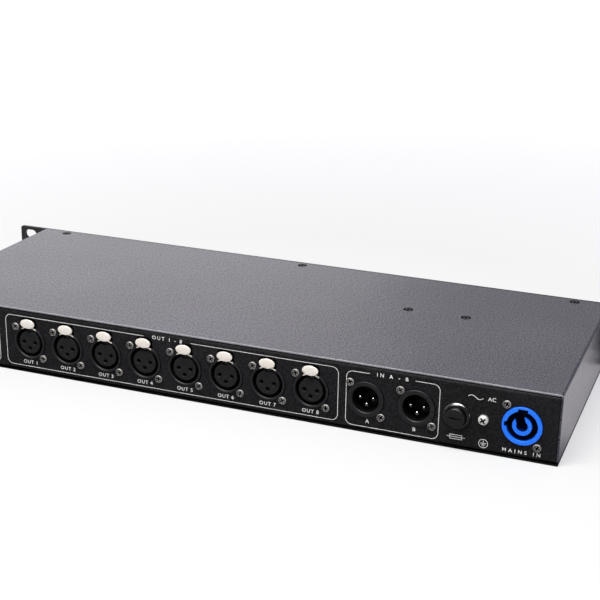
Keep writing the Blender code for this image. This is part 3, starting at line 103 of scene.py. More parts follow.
def fill(node, **values):
    """Gives a node's properties and its named inputs their values or sources."""
    for key, value in values.items():
        if hasattr(node, key):
            setattr(node, key, value)
        else:
            feed(value, node.inputs[key.replace("_", " ")])


def add_node(tree, kind, *sources, **values):
    """A node of that kind. The sources go to its first inputs, the values where they are named."""
    node = tree.nodes.new(kind)
    fill(node, **values)
    for source, target in zip(sources, [socket for socket in node.inputs if socket.enabled]):
        feed(source, target)
    return node


def ranged(source, low, high, to_low=0.0, to_high=1.0):
    """The source with its range from low to high taken to another range."""
    return add_node(source.id_data, "ShaderNodeMapRange", source, From_Min=low, From_Max=high,
                    To_Min=to_low, To_Max=to_high)


def times(first, second):
    """The product of two sources."""
    return add_node(first.id_data, "ShaderNodeMath", first, second, operation="MULTIPLY")


def ways(place):
    """The three outputs X, Y and Z of a place."""
    return add_node(place.id_data, "ShaderNodeSeparateXYZ", place).outputs


def as_mesh(bm, name):
    """A new mesh from the bmesh, which is freed."""
    mesh = bpy.data.meshes.new(name)
    bm.to_mesh(mesh)
    bm.free()
    return mesh


bm = bmesh.new()
bmesh.ops.create_grid(bm, x_segments=1, y_segments=1, size=4.0)
bmesh.ops.translate(bm, vec=(0.0, 0.0, cad_low.z - 0.0001), verts=bm.verts)
floor = bpy.data.objects.new("floor", as_mesh(bm, "floor"))
scene.collection.objects.link(floor)
floor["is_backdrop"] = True

floor_white, tree, shader = new_material("floor_white")
tree.nodes.remove(shader)
place = add_node(tree, "ShaderNodeTexCoord").outputs["Object"]
rays = add_node(tree, "ShaderNodeLightPath").outputs
reach = add_node(tree, "ShaderNodeVectorMath", place, operation="LENGTH")
lift = ranged(reach, 0.3, 1.4, 0.515, 1.0)
paper = add_node(tree, "ShaderNodeBsdfDiffuse", Color=(0.36, 0.364, 0.33))
glow = add_node(tree, "ShaderNodeEmission", Color=(0.92, 0.91, 1.0), Strength=lift)
lit = add_node(tree, "ShaderNodeAddShader", paper, glow)
mirrored_paper = add_node(tree, "ShaderNodeBsdfDiffuse", Color=(0.50, 0.50, 0.51))
mirrored_glow = add_node(tree, "ShaderNodeEmission", Color=(0.97, 0.93, 1.0), Strength=0.64)
mirrored_near = add_node(tree, "ShaderNodeAddShader", mirrored_paper, mirrored_glow)
mirrored_dim = add_node(tree, "ShaderNodeEmission", Color=(1.0, 1.0, 1.0), Strength=0.05)
bright_y, dim_y = 0.03, 0.085
fall = ranged(ways(place)["Y"], bright_y, dim_y)
mirrored = add_node(tree, "ShaderNodeMixShader", fall, mirrored_near, mirrored_dim)
bounce = add_node(tree, "ShaderNodeBsdfDiffuse", Color=(0.75, 0.75, 0.76))
unseen = add_node(tree, "ShaderNodeMixShader", rays["Is Glossy Ray"], bounce, mirrored)
seen = add_node(tree, "ShaderNodeMath", rays["Is Camera Ray"], rays["Is Transmission Ray"],
                operation="MAXIMUM")
seen_or_not = add_node(tree, "ShaderNodeMixShader", seen, unseen, lit)
fill(tree.nodes["Material Output"], Surface=seen_or_not)
floor.data.materials.append(floor_white)

world = bpy.data.worlds.new("white_air")
scene.world = world
world.use_nodes = True
tree = world.node_tree
direction = ways(add_node(tree, "ShaderNodeTexCoord").outputs["Generated"])
rays = add_node(tree, "ShaderNodeLightPath").outputs
fall = ranged(direction["Y"], -0.25, 0.50, 1.0, 0.04)
slope = ranged(direction["X"], -0.25, 0.55, 0.10, 1.0)
ceiling = ranged(direction["Z"], 0.72, 0.90, 0.0, 3.0)
overhead = add_node(tree, "ShaderNodeMath", times(fall, slope), ceiling, operation="ADD")
in_mirrors = add_node(tree, "ShaderNodeMix", Factor=rays["Is Glossy Ray"], A=1.0, B=overhead)
on_things = ranged(rays["Is Diffuse Ray"], 0.0, 1.0, 1.0, 0.45)
fill(tree.nodes["Background"], Color=(1.0, 1.0, 1.0), Strength=times(on_things, in_mirrors))


def soft_lamp(name, place, target, width, height, power):
    """A large soft lamp at a place, turned towards a point."""
    lamp_data = bpy.data.lights.new(name, "AREA")
    lamp_data.shape = "RECTANGLE"
    lamp_data.size = width
    lamp_data.size_y = height
    lamp_data.energy = power
    lamp = bpy.data.objects.new(name, lamp_data)
    lamp.location = place
    lamp.rotation_mode = "QUATERNION"
    lamp.rotation_quaternion = (Vector(target) - Vector(place)).to_track_quat("-Z", "Y")
    scene.collection.objects.link(lamp)


box_middle = (0.0, 0.0, 0.02)
soft_lamp("lamp_above", (-0.02, 0.45, 1.20), box_middle, 1.0, 0.4, 16.5)
soft_lamp("lamp_rear", (0.45, 1.40, 0.90), box_middle, 0.9, 0.9, 6.0)
soft_lamp("lamp_far_end", (0.74, -1.10, 0.44), box_middle, 1.0, 0.4, 1.4)

# Folded steel case: base plate, cover, rear panel, front channel and rack panel. Each is cut
# and bent from steel sheet, its edges are broken by a file, and it is powder coated black with
# a fine grain.


def noise(place, scale, detail, roughness=0.5):
    """Noise at a place."""
    return add_node(place.id_data, "ShaderNodeTexNoise", Vector=place, Scale=scale, Detail=detail,
                    Roughness=roughness)


def blend(share, first, second):
    """A colour between two others, by a share from 0 to 1."""
    return add_node(share.id_data, "ShaderNodeMix", data_type="RGBA", Factor=share, A=first,
                    B=second)


def bumpy(height, strength, distance, **under):
    """A surface raised by the height, over another one that is given as Normal."""
    return add_node(height.id_data, "ShaderNodeBump", Height=height, Strength=strength,
                    Distance=distance, **under)


def powder_coat(name, dark, light, grain_size, depth, gloss_low, gloss_high, shine, sparkle,
                painted_shade_below=-1.0, painted_shade_above=1.0, highlight_from=1.0):
    """Black powder coat: a fine grain in colour, gloss and height, on orange peel and slow
    clouds. Outside the two heights it is darker and duller: a painted shade. Beyond the last
    given place along Y, its top edge has pale specks: a painted highlight."""
    mat, tree, shader = new_material(name)
    place = add_node(tree, "ShaderNodeTexCoord").outputs["Object"]
    along = ways(place)
    # Painted shade: below the low height and above the high one, colour and gloss are cut down.
    painted_shade_factor = times(ranged(along["Z"], painted_shade_below, painted_shade_below + 0.0003, 0.1),
                      ranged(along["Z"], painted_shade_above, painted_shade_above + 0.0006, 1.0, 0.4))
    # Painted highlight: pale specks on the top edge beyond a given place along Y, standing for
    # light caught there.
    highlight_edge = times(ranged(along["Y"], highlight_from, highlight_from + 0.0002),
                      ranged(along["Z"], cad_high.z - 0.0012, cad_high.z - 0.0002))
    highlight_specks = times(highlight_edge, noise(place, 1600.0, 1.0))
    grain = noise(place, 1.0 / grain_size, 2.0, 0.55)
    cloud = ranged(noise(place, 14.0, 3.0), 0.3, 0.7, 0.85, 1.15)
    tint = blend(ranged(grain, 0.40, 0.64), dark, light)
    shade = add_node(tree, "ShaderNodeVectorMath", tint, operation="SCALE",
                     Scale=times(cloud, painted_shade_factor))
    peel = bumpy(noise(place, 0.25 / grain_size, 1.0), 1.0, depth * 2.5)
    polish = ranged(grain, 0.35, 0.65, shine * (1.0 - sparkle), shine * (1.0 + sparkle))
    fill(shader, Base_Color=blend(highlight_specks, shade, (0.60, 0.59, 0.61)),
         Roughness=ranged(grain, 0.3, 0.7, gloss_low, gloss_high),
         Normal=bumpy(grain, 1.0, depth, Normal=peel),
         Specular_IOR_Level=times(polish, painted_shade_factor))
    return mat


def evaluated(piece):
    """The piece's mesh with its modifiers done. The piece itself is removed."""
    bpy.context.view_layer.update()
    graph = bpy.context.evaluated_depsgraph_get()
    mesh = bpy.data.meshes.new_from_object(piece.evaluated_get(graph))
    bpy.data.objects.remove(piece)
    return mesh


def dress(mesh, name, mat, body, slot, *nodes):
    """A finished piece: smooth but for its sharp edges, on its body, in place of its nodes."""
    mesh.materials.clear()
    mesh.materials.append(mat)
    mesh.shade_smooth()
    mesh.set_sharp_from_angle(angle=math.radians(38))
    rough = bpy.data.objects.new("rough", mesh)
    scene.collection.objects.link(rough)
    flats = rough.modifiers.new("flats", "WEIGHTED_NORMAL")
    flats.keep_sharp = True
    piece = bpy.data.objects.new(name, evaluated(rough))
    scene.collection.objects.link(piece)
    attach(piece, body)
    if nodes:
        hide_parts(*nodes)


def filed(mesh, width, segments=2, limit=50):
    """The same mesh with its sharp edges rounded."""
    rough = bpy.data.objects.new("rough", mesh)
    scene.collection.objects.link(rough)
    bevel = rough.modifiers.new("file", "BEVEL")
    bevel.width = width
    bevel.segments = segments
    bevel.limit_method = "ANGLE"
    bevel.angle_limit = math.radians(limit)
    bevel.use_clamp_overlap = True
    return evaluated(rough)


def clean_copy(node):
    """A merged copy of a node's mesh, with its flat faces joined."""
    bm = bmesh.new()
    bm.from_mesh(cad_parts[node].data)
    bmesh.ops.remove_doubles(bm, verts=bm.verts, dist=2e-6)
    bmesh.ops.dissolve_limit(bm, angle_limit=math.radians(0.5), verts=bm.verts, edges=bm.edges)
    return as_mesh(bm, node)


# The cover has painted shade along the foot of its sides and painted highlight specks on its rear
# top edge.
coat_cover = powder_coat("coat_cover", (0.022, 0.020, 0.028), (0.068, 0.063, 0.086), 0.00100,
                         0.00008, 0.26, 0.44, 0.50, 0.9, painted_shade_below=cad_low.z + 0.0026,
                         highlight_from=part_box("top_cover")[1].y - 0.0004)
flat_black = ((0.007, 0.006, 0.007), (0.014, 0.013, 0.015), 0.00110, 0.00003, 0.36, 0.48, 0.30, 0.2)
coat_panel = powder_coat("coat_panel", *flat_black)
# Painted shade: the rear coat is darker and duller in a band at the foot and in a band at the top
# bend. It also coats the base plate.
coat_rear = powder_coat("coat_rear", *flat_black, painted_shade_below=cad_low.z + 0.0022,
                        painted_shade_above=cad_low.z + 0.0411)
sheet_edge, cover_edge = 0.0002, 0.0004
for node, coat, edge in (("base_plate", coat_rear, sheet_edge),
                         ("top_cover", coat_cover, cover_edge),
                         ("rear_panel", coat_rear, sheet_edge),
                         ("front_channel", coat_panel, sheet_edge),
                         ("front_panel", coat_panel, sheet_edge)):
    sheet = filed(clean_copy(node), edge, 3)
    dress(sheet, node + "_sheet", coat, "case", "powder_coat", node)

# Output sockets. Each is a black moulded shell behind the rear panel, with its round nose
# through the hole, a grey contact insert that stands on the floor of the bore, and three brass
# sleeves in it.
rear_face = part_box("rear_panel")[1].y


def middle_of(node):
    """The middle of a node's box."""
    low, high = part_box(node)
    return (low + high) / 2


row_z = middle_of("output_insert_1").z


def on_rear(node):
    """Where a socket sits: the node's place along the row, on the rear panel's face."""
    return Vector((middle_of(node).x, rear_face, row_z))


def moulded(name, colour, roughness, grain_size=0.0004, depth=0.00002, spread=0.15):
    """Moulded plastic with a faint grain, a slow change of shade and slightly uneven gloss."""
    mat, tree, shader = new_material(name)
    place = add_node(tree, "ShaderNodeTexCoord").outputs["Object"]
    grain = noise(place, 1.0 / grain_size, 2.0)
    tint = blend(noise(place, 90.0, 3.0), [c * (1.0 - spread) for c in colour],
                 [min(1.0, c * (1.0 + spread)) for c in colour])
    fill(shader, Base_Color=tint, Normal=bumpy(grain, 0.3, depth),
         Roughness=ranged(grain, 0.0, 1.0, roughness - 0.08, roughness + 0.08))
    return mat


def plated(name, colour, roughness, streak=0.0, depth=0.00001, metallic=1.0, painted_recess_shade=0.0):
    """Plated or bare metal with streaks or a cast grain and uneven gloss. In its corners it
    has painted shade, darker and less glossy where an occlusion node finds surfaces near.
    """
    mat, tree, shader = new_material(name)
    place = add_node(tree, "ShaderNodeTexCoord").outputs["Object"]
    lay = add_node(tree, "ShaderNodeMapping", Vector=place, Scale=(1.0, 1.0, 1.0 + streak))
    grain = noise(lay, 1800.0, 3.0)
    tint = blend(grain, [c * 0.82 for c in colour], colour)
    fill(shader, Metallic=metallic, Base_Color=tint, Normal=bumpy(grain, 0.4, depth),
         Roughness=ranged(grain, 0.0, 1.0, roughness * 0.7, roughness * 1.4))
    if painted_recess_shade:
        # Painted shade: colour and gloss fall in corners and recesses, within the given reach.
        corners = add_node(tree, "ShaderNodeAmbientOcclusion", samples=8, only_local=True,
                           Distance=painted_recess_shade)
        recess_shade_factor = ranged(corners.outputs["AO"], 0.80, 0.99)
        shade = add_node(tree, "ShaderNodeVectorMath", tint, operation="SCALE", Scale=recess_shade_factor)
        fill(shader, Base_Color=shade, Specular_IOR_Level=times(recess_shade_factor, 0.5))
    return mat


def softened(profile, radius, steps=4):
    """A profile whose inner corners are replaced by short curves."""
    points = [Vector(profile[0])]
    for before, corner, after in zip(profile, profile[1:], profile[2:]):
        before, corner, after = Vector(before), Vector(corner), Vector(after)
        reach = min(radius, (before - corner).length * 0.45, (after - corner).length * 0.45)
        start = corner + (before - corner).normalized() * reach
        end = corner + (after - corner).normalized() * reach
        for i in range(steps + 1):
            t = i / steps
            points.append(start * (1 - t) ** 2 + corner * 2 * t * (1 - t) + end * t ** 2)
    return points + [Vector(profile[-1])]


def turned(profile, sides, closed=False):
    """A body turned about the Y axis from (radius, height) points."""
    bm = bmesh.new()
    verts = [bm.verts.new((radius, height, 0.0)) for radius, height in profile]
    pairs = list(zip(verts, verts[1:])) + ([(verts[-1], verts[0])] if closed else [])
    edges = [bm.edges.new(pair) for pair in pairs]
    bmesh.ops.spin(bm, geom=verts + edges, cent=(0.0, 0.0, 0.0), axis=(0.0, 1.0, 0.0),
                   angle=math.tau, steps=sides, use_merge=True)
    bmesh.ops.remove_doubles(bm, verts=bm.verts, dist=1e-6)
    bmesh.ops.recalc_face_normals(bm, faces=bm.faces)
    return as_mesh(bm, "turned")


def bar(low, high):
    """A rectangular bar between two corners."""
    low, high = Vector(low), Vector(high)
    bm = bmesh.new()
    bmesh.ops.create_cube(bm, size=1.0)
    bmesh.ops.scale(bm, vec=high - low, verts=bm.verts)
    bmesh.ops.translate(bm, vec=(low + high) / 2, verts=bm.verts)
    return as_mesh(bm, "bar")


def fitted(mesh, tools, operation="DIFFERENCE"):
    """A mesh cut by, or joined to, each of the tool meshes in turn."""
    for tool in tools:
        work = bpy.data.objects.new("work", mesh)
        helper = bpy.data.objects.new("helper", tool)
        scene.collection.objects.link(work)
        scene.collection.objects.link(helper)
        boolean = work.modifiers.new("fit", "BOOLEAN")
        boolean.operation = operation
        boolean.solver = "EXACT"
        boolean.object = helper
        mesh = evaluated(work)
        bpy.data.objects.remove(helper)
    return mesh


def set_at(mesh, place):
    """A copy of the mesh at its place."""
    mesh = mesh.copy()
    mesh.transform(Matrix.Translation(Vector(place)))
    return mesh


def merged(meshes):
    """One mesh from several that don't touch."""
    bm = bmesh.new()
    for mesh in meshes:
        bm.from_mesh(mesh)
    return as_mesh(bm, "merged")


def flange(low, high):
    """A socket's square flange behind the rear panel, between two heights."""
    return filed(bar((-0.0130, -0.0038, low), (0.0130, -0.0018, high)), 0.0008)


def bore_cutter(radius, floor_y, sides, top=0.0030):
    """What a bore leaves open, from above its mouth down to just above its floor."""
    floor_y += 0.0001
    return turned([(0.0, top), (radius, top), (radius, floor_y), (0.0, floor_y)], sides)


nose_r = 0.0114
nose_proud = 0.0008
bore_r = 0.00975
bore_floor = -0.0150
shell_back = -0.0185
shell_profile = [(0.0, bore_floor), (bore_r, bore_floor), (bore_r, 0.0002),
                 (bore_r + 0.0003, nose_proud), (nose_r, nose_proud), (nose_r, shell_back),
                 (0.0, shell_back)]
shell_round = turned(softened(shell_profile, 0.00035), 96)
notch_half = 0.0056
notch_top = 0.0168
housing = filed(bar((-0.0071, -0.0140, 0.0030), (0.0071, -0.0028, 0.0175)), 0.0006)
channel = bar((-notch_half, -0.0125, 0.0060), (notch_half, 0.0030, notch_top))
shell = fitted(shell_round, [flange(-0.0130, 0.0183), housing], "UNION")
shell = fitted(shell, [bore_cutter(bore_r, bore_floor, 96), channel])

insert_r = 0.00775
contact_circle = 0.0041
hole_r = 0.00125
insert_floor = bore_floor + 0.0003
insert_profile = [(0.0, 0.0002), (insert_r, 0.0002), (insert_r, insert_floor), (0.0, insert_floor)]
insert_round = turned(softened(insert_profile, 0.0004), 96)
contact_places = [(contact_circle * math.cos(q * math.pi / 2), 0.0,
                   contact_circle * math.sin(q * math.pi / 2)) for q in (0, 2, 3)]
hole = turned([(0.0, 0.0010), (hole_r + 0.0008, 0.0010), (hole_r, -0.0002), (hole_r, -0.0100),
               (0.0, -0.0100)], 32)
hook_relief = bar((-0.0016, -0.0065, insert_r - 0.0007), (0.0016, 0.0020, insert_r + 0.0010))
insert = fitted(insert_round, [set_at(hole, place) for place in contact_places] + [hook_relief])
sleeve = turned([(hole_r - 0.00005, -0.0045), (hole_r - 0.00005, -0.0090),
                 (hole_r - 0.00040, -0.0090), (hole_r - 0.00040, -0.0045)], 24, closed=True)
sleeves = merged([set_at(sleeve, place) for place in contact_places])


def darker_inside(mat, face, deep, depth):
    """Darkens a material with depth below the face of its socket, where little light gets."""
    tree = mat.node_tree
    shader = tree.nodes["Principled BSDF"]
    plain = shader.inputs["Base Color"].links[0].from_socket
    place = add_node(tree, "ShaderNodeTexCoord").outputs["Object"]
    fill(shader, Base_Color=blend(ranged(ways(place)["Y"], face - depth, face), deep, plain))


socket_black = moulded("socket_black", (0.013, 0.012, 0.014), 0.42)
darker_inside(socket_black, rear_face + 0.0006, (0.001, 0.001, 0.001), 0.0010)
insert_grey = moulded("insert_grey", (0.010, 0.009, 0.010), 0.50)
sleeve_brass = plated("sleeve_brass", (0.62, 0.47, 0.22), 0.35)
output_count = 8
for number in range(1, output_count + 1):
    place = on_rear(f"output_insert_{number}")
    dress(set_at(shell, place), f"socket_shell_{number}", socket_black, "case", "black_plastic",
          f"output_shell_{number}")
    dress(set_at(insert, place), f"socket_insert_{number}", insert_grey, "case", "insert_plastic",
          f"output_insert_{number}")
    dress(set_at(sleeves, place), f"socket_sleeves_{number}", sleeve_brass, "case", "pin_metal")

# Push latches. Each is cast in one piece and plated: an oval thumb plate with a slightly domed
# face on a stem that slides in the shell's channel, a curved lip that closes the nose where the
# channel opens it, and the hook that holds the plug.


def oval_plate(width, height, edge, thickness, dome, sides=64):
    """An oval plate with rounded front edges and a domed face that looks along +Y from y = 0."""
    bm = bmesh.new()
    oval = [(math.cos(math.tau * i / sides), math.sin(math.tau * i / sides)) for i in range(sides)]
    rings = [(0.0, -thickness)]
    rings += [(edge * (1 - math.cos(a)), edge * math.sin(a) - edge)
              for a in [math.pi / 2 * i / 6 for i in range(7)]]
    rings += [(height * share, dome * (1 - (1 - 2 * share) ** 2)) for share in (0.20, 0.32, 0.44)]
    loops = [[bm.verts.new(((width / 2 - inset) * a, y, (height / 2 - inset) * b))
              for a, b in oval] for inset, y in rings]
    for first, second in zip(loops, loops[1:]):
        for a, b, c, d in zip(first, first[1:] + first[:1], second[1:] + second[:1], second):
            bm.faces.new((a, b, c, d))
    bm.faces.new(loops[-1])
    bm.faces.new(list(reversed(loops[0])))
    bmesh.ops.recalc_face_normals(bm, faces=bm.faces)
    return as_mesh(bm, "plate")


latch_middle = 0.0133
latch_face = 0.0023
latch_plate = set_at(oval_plate(0.0104, 0.0063, 0.0005, 0.0008, 0.0003),
                     (0.0, latch_face, latch_middle))
latch_stem = filed(bar((-0.0028, -0.0075, 0.0122), (0.0028, 0.0019, 0.0146)), 0.0003)
lip_band = turned([(0.0101, -0.0004), (0.0101, 0.0006), (0.0107, 0.0006), (0.0107, -0.0004)], 120,
                  closed=True)
lip_span = bar((-0.0051, -0.0010, 0.0060), (0.0051, 0.0010, 0.0120))
latch_lip = filed(fitted(lip_band, [lip_span], "INTERSECT"), 0.00012)
latch_web = filed(bar((-0.0012, -0.0017, 0.0104), (0.0012, -0.0001, 0.0126)), 0.0002)
latch_hook = filed(bar((-0.0013, -0.0030, 0.0073), (0.0013, -0.0012, 0.0130)), 0.0003)
latch = merged([latch_plate, latch_stem, latch_lip, latch_web, latch_hook])
latch_bright = plated("latch_bright", (0.84, 0.78, 0.71), 0.36, depth=0.00004, metallic=0.15)
darker_inside(latch_bright, rear_face + 0.0004, (0.03, 0.03, 0.03), 0.0007)
for number in range(1, output_count + 1):
    place = on_rear(f"output_insert_{number}")
    dress(set_at(latch, place), f"thumb_latch_{number}", latch_bright, f"latch_{number}",
          "latch_metal", f"push_latch_{number}")

# Input sockets. Each has the same black nose as an output socket, a wider face round a smaller
# bore, and three silver plated pins that stand in a black disc.
pin_bore_r = 0.0082
pin_floor = -0.0120
pin_bore_floor = pin_floor - 0.0030
pin_shell_profile = [(0.0, pin_bore_floor), (pin_bore_r, pin_bore_floor), (pin_bore_r, -0.0002),
                     (pin_bore_r + 0.0004, nose_proud), (nose_r, nose_proud), (nose_r, shell_back),
                     (0.0, shell_back)]
pin_shell = turned(softened(pin_shell_profile, 0.0004), 96)
pin_room = bore_cutter(pin_bore_r, pin_bore_floor, 96)
latch_window = bar((-0.0022, -0.0090, pin_bore_r - 0.0005), (0.0022, -0.0030, pin_bore_r + 0.0012))
pin_shell = fitted(fitted(pin_shell, [flange(-0.0130, 0.0130)], "UNION"), [pin_room, latch_window])
disc_r, disc_back = pin_bore_r - 0.0003, pin_floor - 0.0027
disc_profile = [(0.0, pin_floor), (disc_r, pin_floor), (disc_r, disc_back), (0.0, disc_back)]
disc = turned(softened(disc_profile, 0.0003), 64)
pin_r = 0.0012
pin_profile = [(0.0, -0.0016), (pin_r * 0.55, -0.0017), (pin_r * 0.9, -0.0021), (pin_r, -0.0028),
               (pin_r, pin_floor + 0.0001), (0.0, pin_floor + 0.0001)]
pin = turned(pin_profile, 28)
pins = merged([set_at(pin, place) for place in contact_places])
pin_silver = plated("pin_silver", (0.93, 0.90, 0.84), 0.16)
darker_inside(pin_silver, rear_face - 0.0018, (0.06, 0.06, 0.06), 0.0008)
for letter in "ab":
    place = on_rear(f"input_pins_{letter}")
    dress(set_at(pin_shell, place), f"pin_socket_{letter}", socket_black, "case", "black_plastic",
          f"input_shell_{letter}")
    dress(set_at(disc, place), f"pin_disc_{letter}", socket_black, "case", "insert_plastic")
    dress(set_at(pins, place), f"pins_{letter}", pin_silver, "case", "pin_metal",
          f"input_pins_{letter}")

# Mains inlet. A blue moulded round socket, keyed at the top and at one side, with an open ring
# inside and three blades behind. The contacts lie deep between the ring and the wall.
inlet_r = 0.01175
inlet_bore_r = 0.00905
inlet_floor = -0.0120
inlet_back = -0.0220
inlet_profile = [(0.0, inlet_floor), (inlet_bore_r, inlet_floor), (inlet_bore_r, 0.0010),
                 (inlet_r, 0.0010), (inlet_r, inlet_back), (0.0, inlet_back)]
inlet = turned(softened(inlet_profile, 0.0005), 128)
inlet_room = bore_cutter(inlet_bore_r, inlet_floor, 128, 0.0040)
top_key = bar((-0.0028, inlet_floor + 0.0001, 0.0040), (0.0028, 0.0040, inlet_bore_r + 0.0013))
side_key = bar((0.0040, inlet_floor + 0.0001, -0.0014), (inlet_bore_r + 0.0013, 0.0040, 0.0018))
inlet = fitted(fitted(inlet, [flange(-0.0155, 0.0155)], "UNION"),
               [inlet_room, top_key, side_key])
ring_profile = [(0.0034, 0.0008), (0.0057, 0.0008), (0.0057, inlet_floor), (0.0034, inlet_floor)]
ring = turned(softened(ring_profile + ring_profile[:1], 0.0003)[1:], 96, closed=True)
ring = fitted(ring, [bar((-0.0028, inlet_floor - 0.0010, 0.0), (0.0028, 0.0020, 0.0080))])
ring.transform(Matrix.Rotation(math.radians(18), 4, "Y"))
blade = filed(bar((-0.0004, -0.0290, -0.0030), (0.0004, inlet_back - 0.0001, 0.0030)), 0.0001)
blades = merged([set_at(blade, (x, 0.0, 0.0)) for x in (-0.0060, 0.0, 0.0060)])

inlet_blue = moulded("inlet_blue", (0.001, 0.150, 0.860), 0.36)
darker_inside(inlet_blue, rear_face + 0.0005, (0.000, 0.006, 0.050), 0.0014)
inlet_place = on_rear("mains_inlet")
dress(set_at(inlet, inlet_place), "mains_socket", inlet_blue, "case", "inlet_blue", "mains_inlet")
dress(set_at(ring, inlet_place), "mains_socket_ring", inlet_blue, "case", "inlet_blue")
tinned = plated("tinned", (0.78, 0.77, 0.74), 0.3)
dress(set_at(blades, inlet_place), "mains_blades", tinned, "case", "steel")

# Fuse holder. A glossy black turned body with a rounded flange, a knob with a screwdriver slot
# that turns in it, and a glass fuse with metal bands that comes out with the knob.
fuse_place = middle_of("fuse_cap")
fuse_place.y = rear_face
flange_r = 0.0083
flange_out = 0.0022
flange_round = flange_out - 0.0003
holder_profile = [(0.0062, 0.0000), (0.0062, flange_out - 0.0002), (0.0064, flange_out)]
holder_profile += [(flange_r - flange_round * (1 - math.sin(a)),
                    0.0003 + flange_round * math.cos(a))
                   for a in [math.pi / 2 * i / 10 for i in range(11)]]
holder_profile += [(0.0068, 0.0003), (0.0068, -0.0330), (0.0029, -0.0330), (0.0029, -0.0064),
                   (0.0056, -0.0064), (0.0056, -0.0003)]
holder = turned(holder_profile, 96, closed=True)
nut = turned([(0.0069, -0.0018), (0.0095, -0.0018), (0.0095, -0.0053), (0.0069, -0.0053)], 6,
             closed=True)
lug = filed(bar((-0.0024, -0.0390, -0.0004), (0.0024, -0.0331, 0.0004)), 0.00015)
side_lug = filed(bar((-0.0128, -0.0264, -0.0004), (-0.0069, -0.0216, 0.0004)), 0.00015)
knob_out = 0.0055
knob_profile = [(0.0, knob_out), (0.0059, knob_out), (0.0059, 0.0006), (0.0048, 0.0002),
                (0.0048, -0.0060), (0.0, -0.0060)]
knob = turned(softened(knob_profile, 0.0006), 96)
knob_slot = bar((-0.0031, knob_out - 0.0014, -0.0006), (0.0031, knob_out + 0.0010, 0.0006))
knob = fitted(knob, [knob_slot])
tube_r = 0.0025
tube_profile = [(0.0, -0.0110), (tube_r - 0.0002, -0.0110), (tube_r - 0.0002, -0.0208),
                (0.0, -0.0208)]
band_profile = [(0.0, -0.0063), (tube_r, -0.0063), (tube_r, -0.0112), (0.0, -0.0112)]
tube = turned(tube_profile, 40)
band = turned(softened(band_profile, 0.0003), 40)
bands = merged([band, set_at(band, (0.0, -0.0148, 0.0))])
fuse_gloss = moulded("fuse_gloss", (0.006, 0.006, 0.007), 0.16)
fill(fuse_gloss.node_tree.nodes["Principled BSDF"], IOR=3.2)
fuse_black = moulded("fuse_black", (0.006, 0.006, 0.007), 0.30)
knob_black = moulded("knob_black", (0.012, 0.012, 0.013), 0.34)
darker_inside(knob_black, rear_face + knob_out - 0.0003, (0.0005, 0.0005, 0.0005), 0.0004)
fuse_glass = moulded("fuse_glass", (0.60, 0.66, 0.66), 0.10)
dress(set_at(holder, fuse_place), "fuse_body", fuse_gloss, "case", "black_plastic", "fuse_holder")
dress(set_at(nut, fuse_place), "fuse_nut", fuse_black, "case", "black_plastic")
dress(set_at(merged([lug, side_lug]), fuse_place), "fuse_lugs", tinned, "case", "steel")
dress(set_at(knob, fuse_place), "fuse_knob_cap", knob_black, "fuse_knob", "black_plastic",
      "fuse_cap")
dress(set_at(tube, fuse_place), "fuse_tube", fuse_glass, "fuse_carrier", "fuse_glass", "fuse_link")
dress(set_at(bands, fuse_place), "fuse_bands", tinned, "fuse_carrier", "steel")

# Earthing screw. A bright pan head with a cross recess, a toothed washer under it and a nut
# behind the panel.


def pan_screw(head_r, head_h, cross_length, cross_width, cross_depth, shank_r, length):
    """A pan head screw that faces +Y, its head standing on y = 0."""
    profile = [(0.0, head_h), (head_r * 0.55, head_h * 0.94), (head_r * 0.86, head_h * 0.72),
               (head_r, head_h * 0.36), (head_r, 0.0), (shank_r, 0.0), (shank_r, -length),
               (0.0, -length)]
    screw = turned(softened(profile, head_h * 0.18, 3), 40)
    half, thin = cross_length / 2, cross_width / 2
    deep = head_h - cross_depth
    arms = [bar((-half, deep, -thin), (half, head_h * 2, thin)),
            bar((-thin, deep, -half), (thin, head_h * 2, half))]
    heart = turned([(0.0, head_h * 2), (cross_width * 0.95, head_h * 2), (cross_width * 0.7, deep),
                    (0.0, deep - cross_depth * 0.3)], 16)
    return fitted(screw, arms + [heart])


washer_face = 0.0006
ground_place = on_rear("ground_screw") + Vector((0.0, washer_face, 0.0))
ground_head = pan_screw(0.0030, 0.0020, 0.0040, 0.0011, 0.0017, 0.0015, 0.0096)
ground_head.transform(Matrix.Rotation(math.radians(35), 4, "Y"))
tooth_count = 12
washer = turned(softened([(0.0016, 0.0), (0.0031, 0.0), (0.0031, -0.0005), (0.0016, -0.0005),
                          (0.0016, 0.0)], 0.0001, 2)[1:], tooth_count * 4, closed=True)
ground_nut = turned([(0.0016, -0.0024), (0.0034, -0.0024), (0.0034, -0.0048), (0.0016, -0.0048)],
                    6, closed=True)
# The earth screw's cross recess and corners get painted shade.
zinc = plated("zinc", (0.92, 0.91, 0.87), 0.28, metallic=0.4, painted_recess_shade=0.0012)
dress(set_at(merged([ground_head, washer, ground_nut]), ground_place), "earth_screw", zinc, "case",
      "steel", "ground_screw")

# Small screws. Nickel plated screws with a raised rim hold the sockets to the rear panel, and
# black countersunk ones hold the cover and the base plate. Each is turned by chance.


def new_group(name, result, **kinds):
    """An empty node group, as (group, its inputs' outputs, its exit, identifiers by name)."""
    group = bpy.data.node_groups.new(name, "GeometryNodeTree")
    sockets = {label: group.interface.new_socket(label, in_out="INPUT",
                                                 socket_type="NodeSocket" + kind).identifier
               for label, kind in kinds.items()}
    group.interface.new_socket(result, in_out="OUTPUT", socket_type="NodeSocketGeometry")
    entry = group.nodes.new("NodeGroupInput").outputs
    return group, entry, group.nodes.new("NodeGroupOutput").inputs[result], sockets


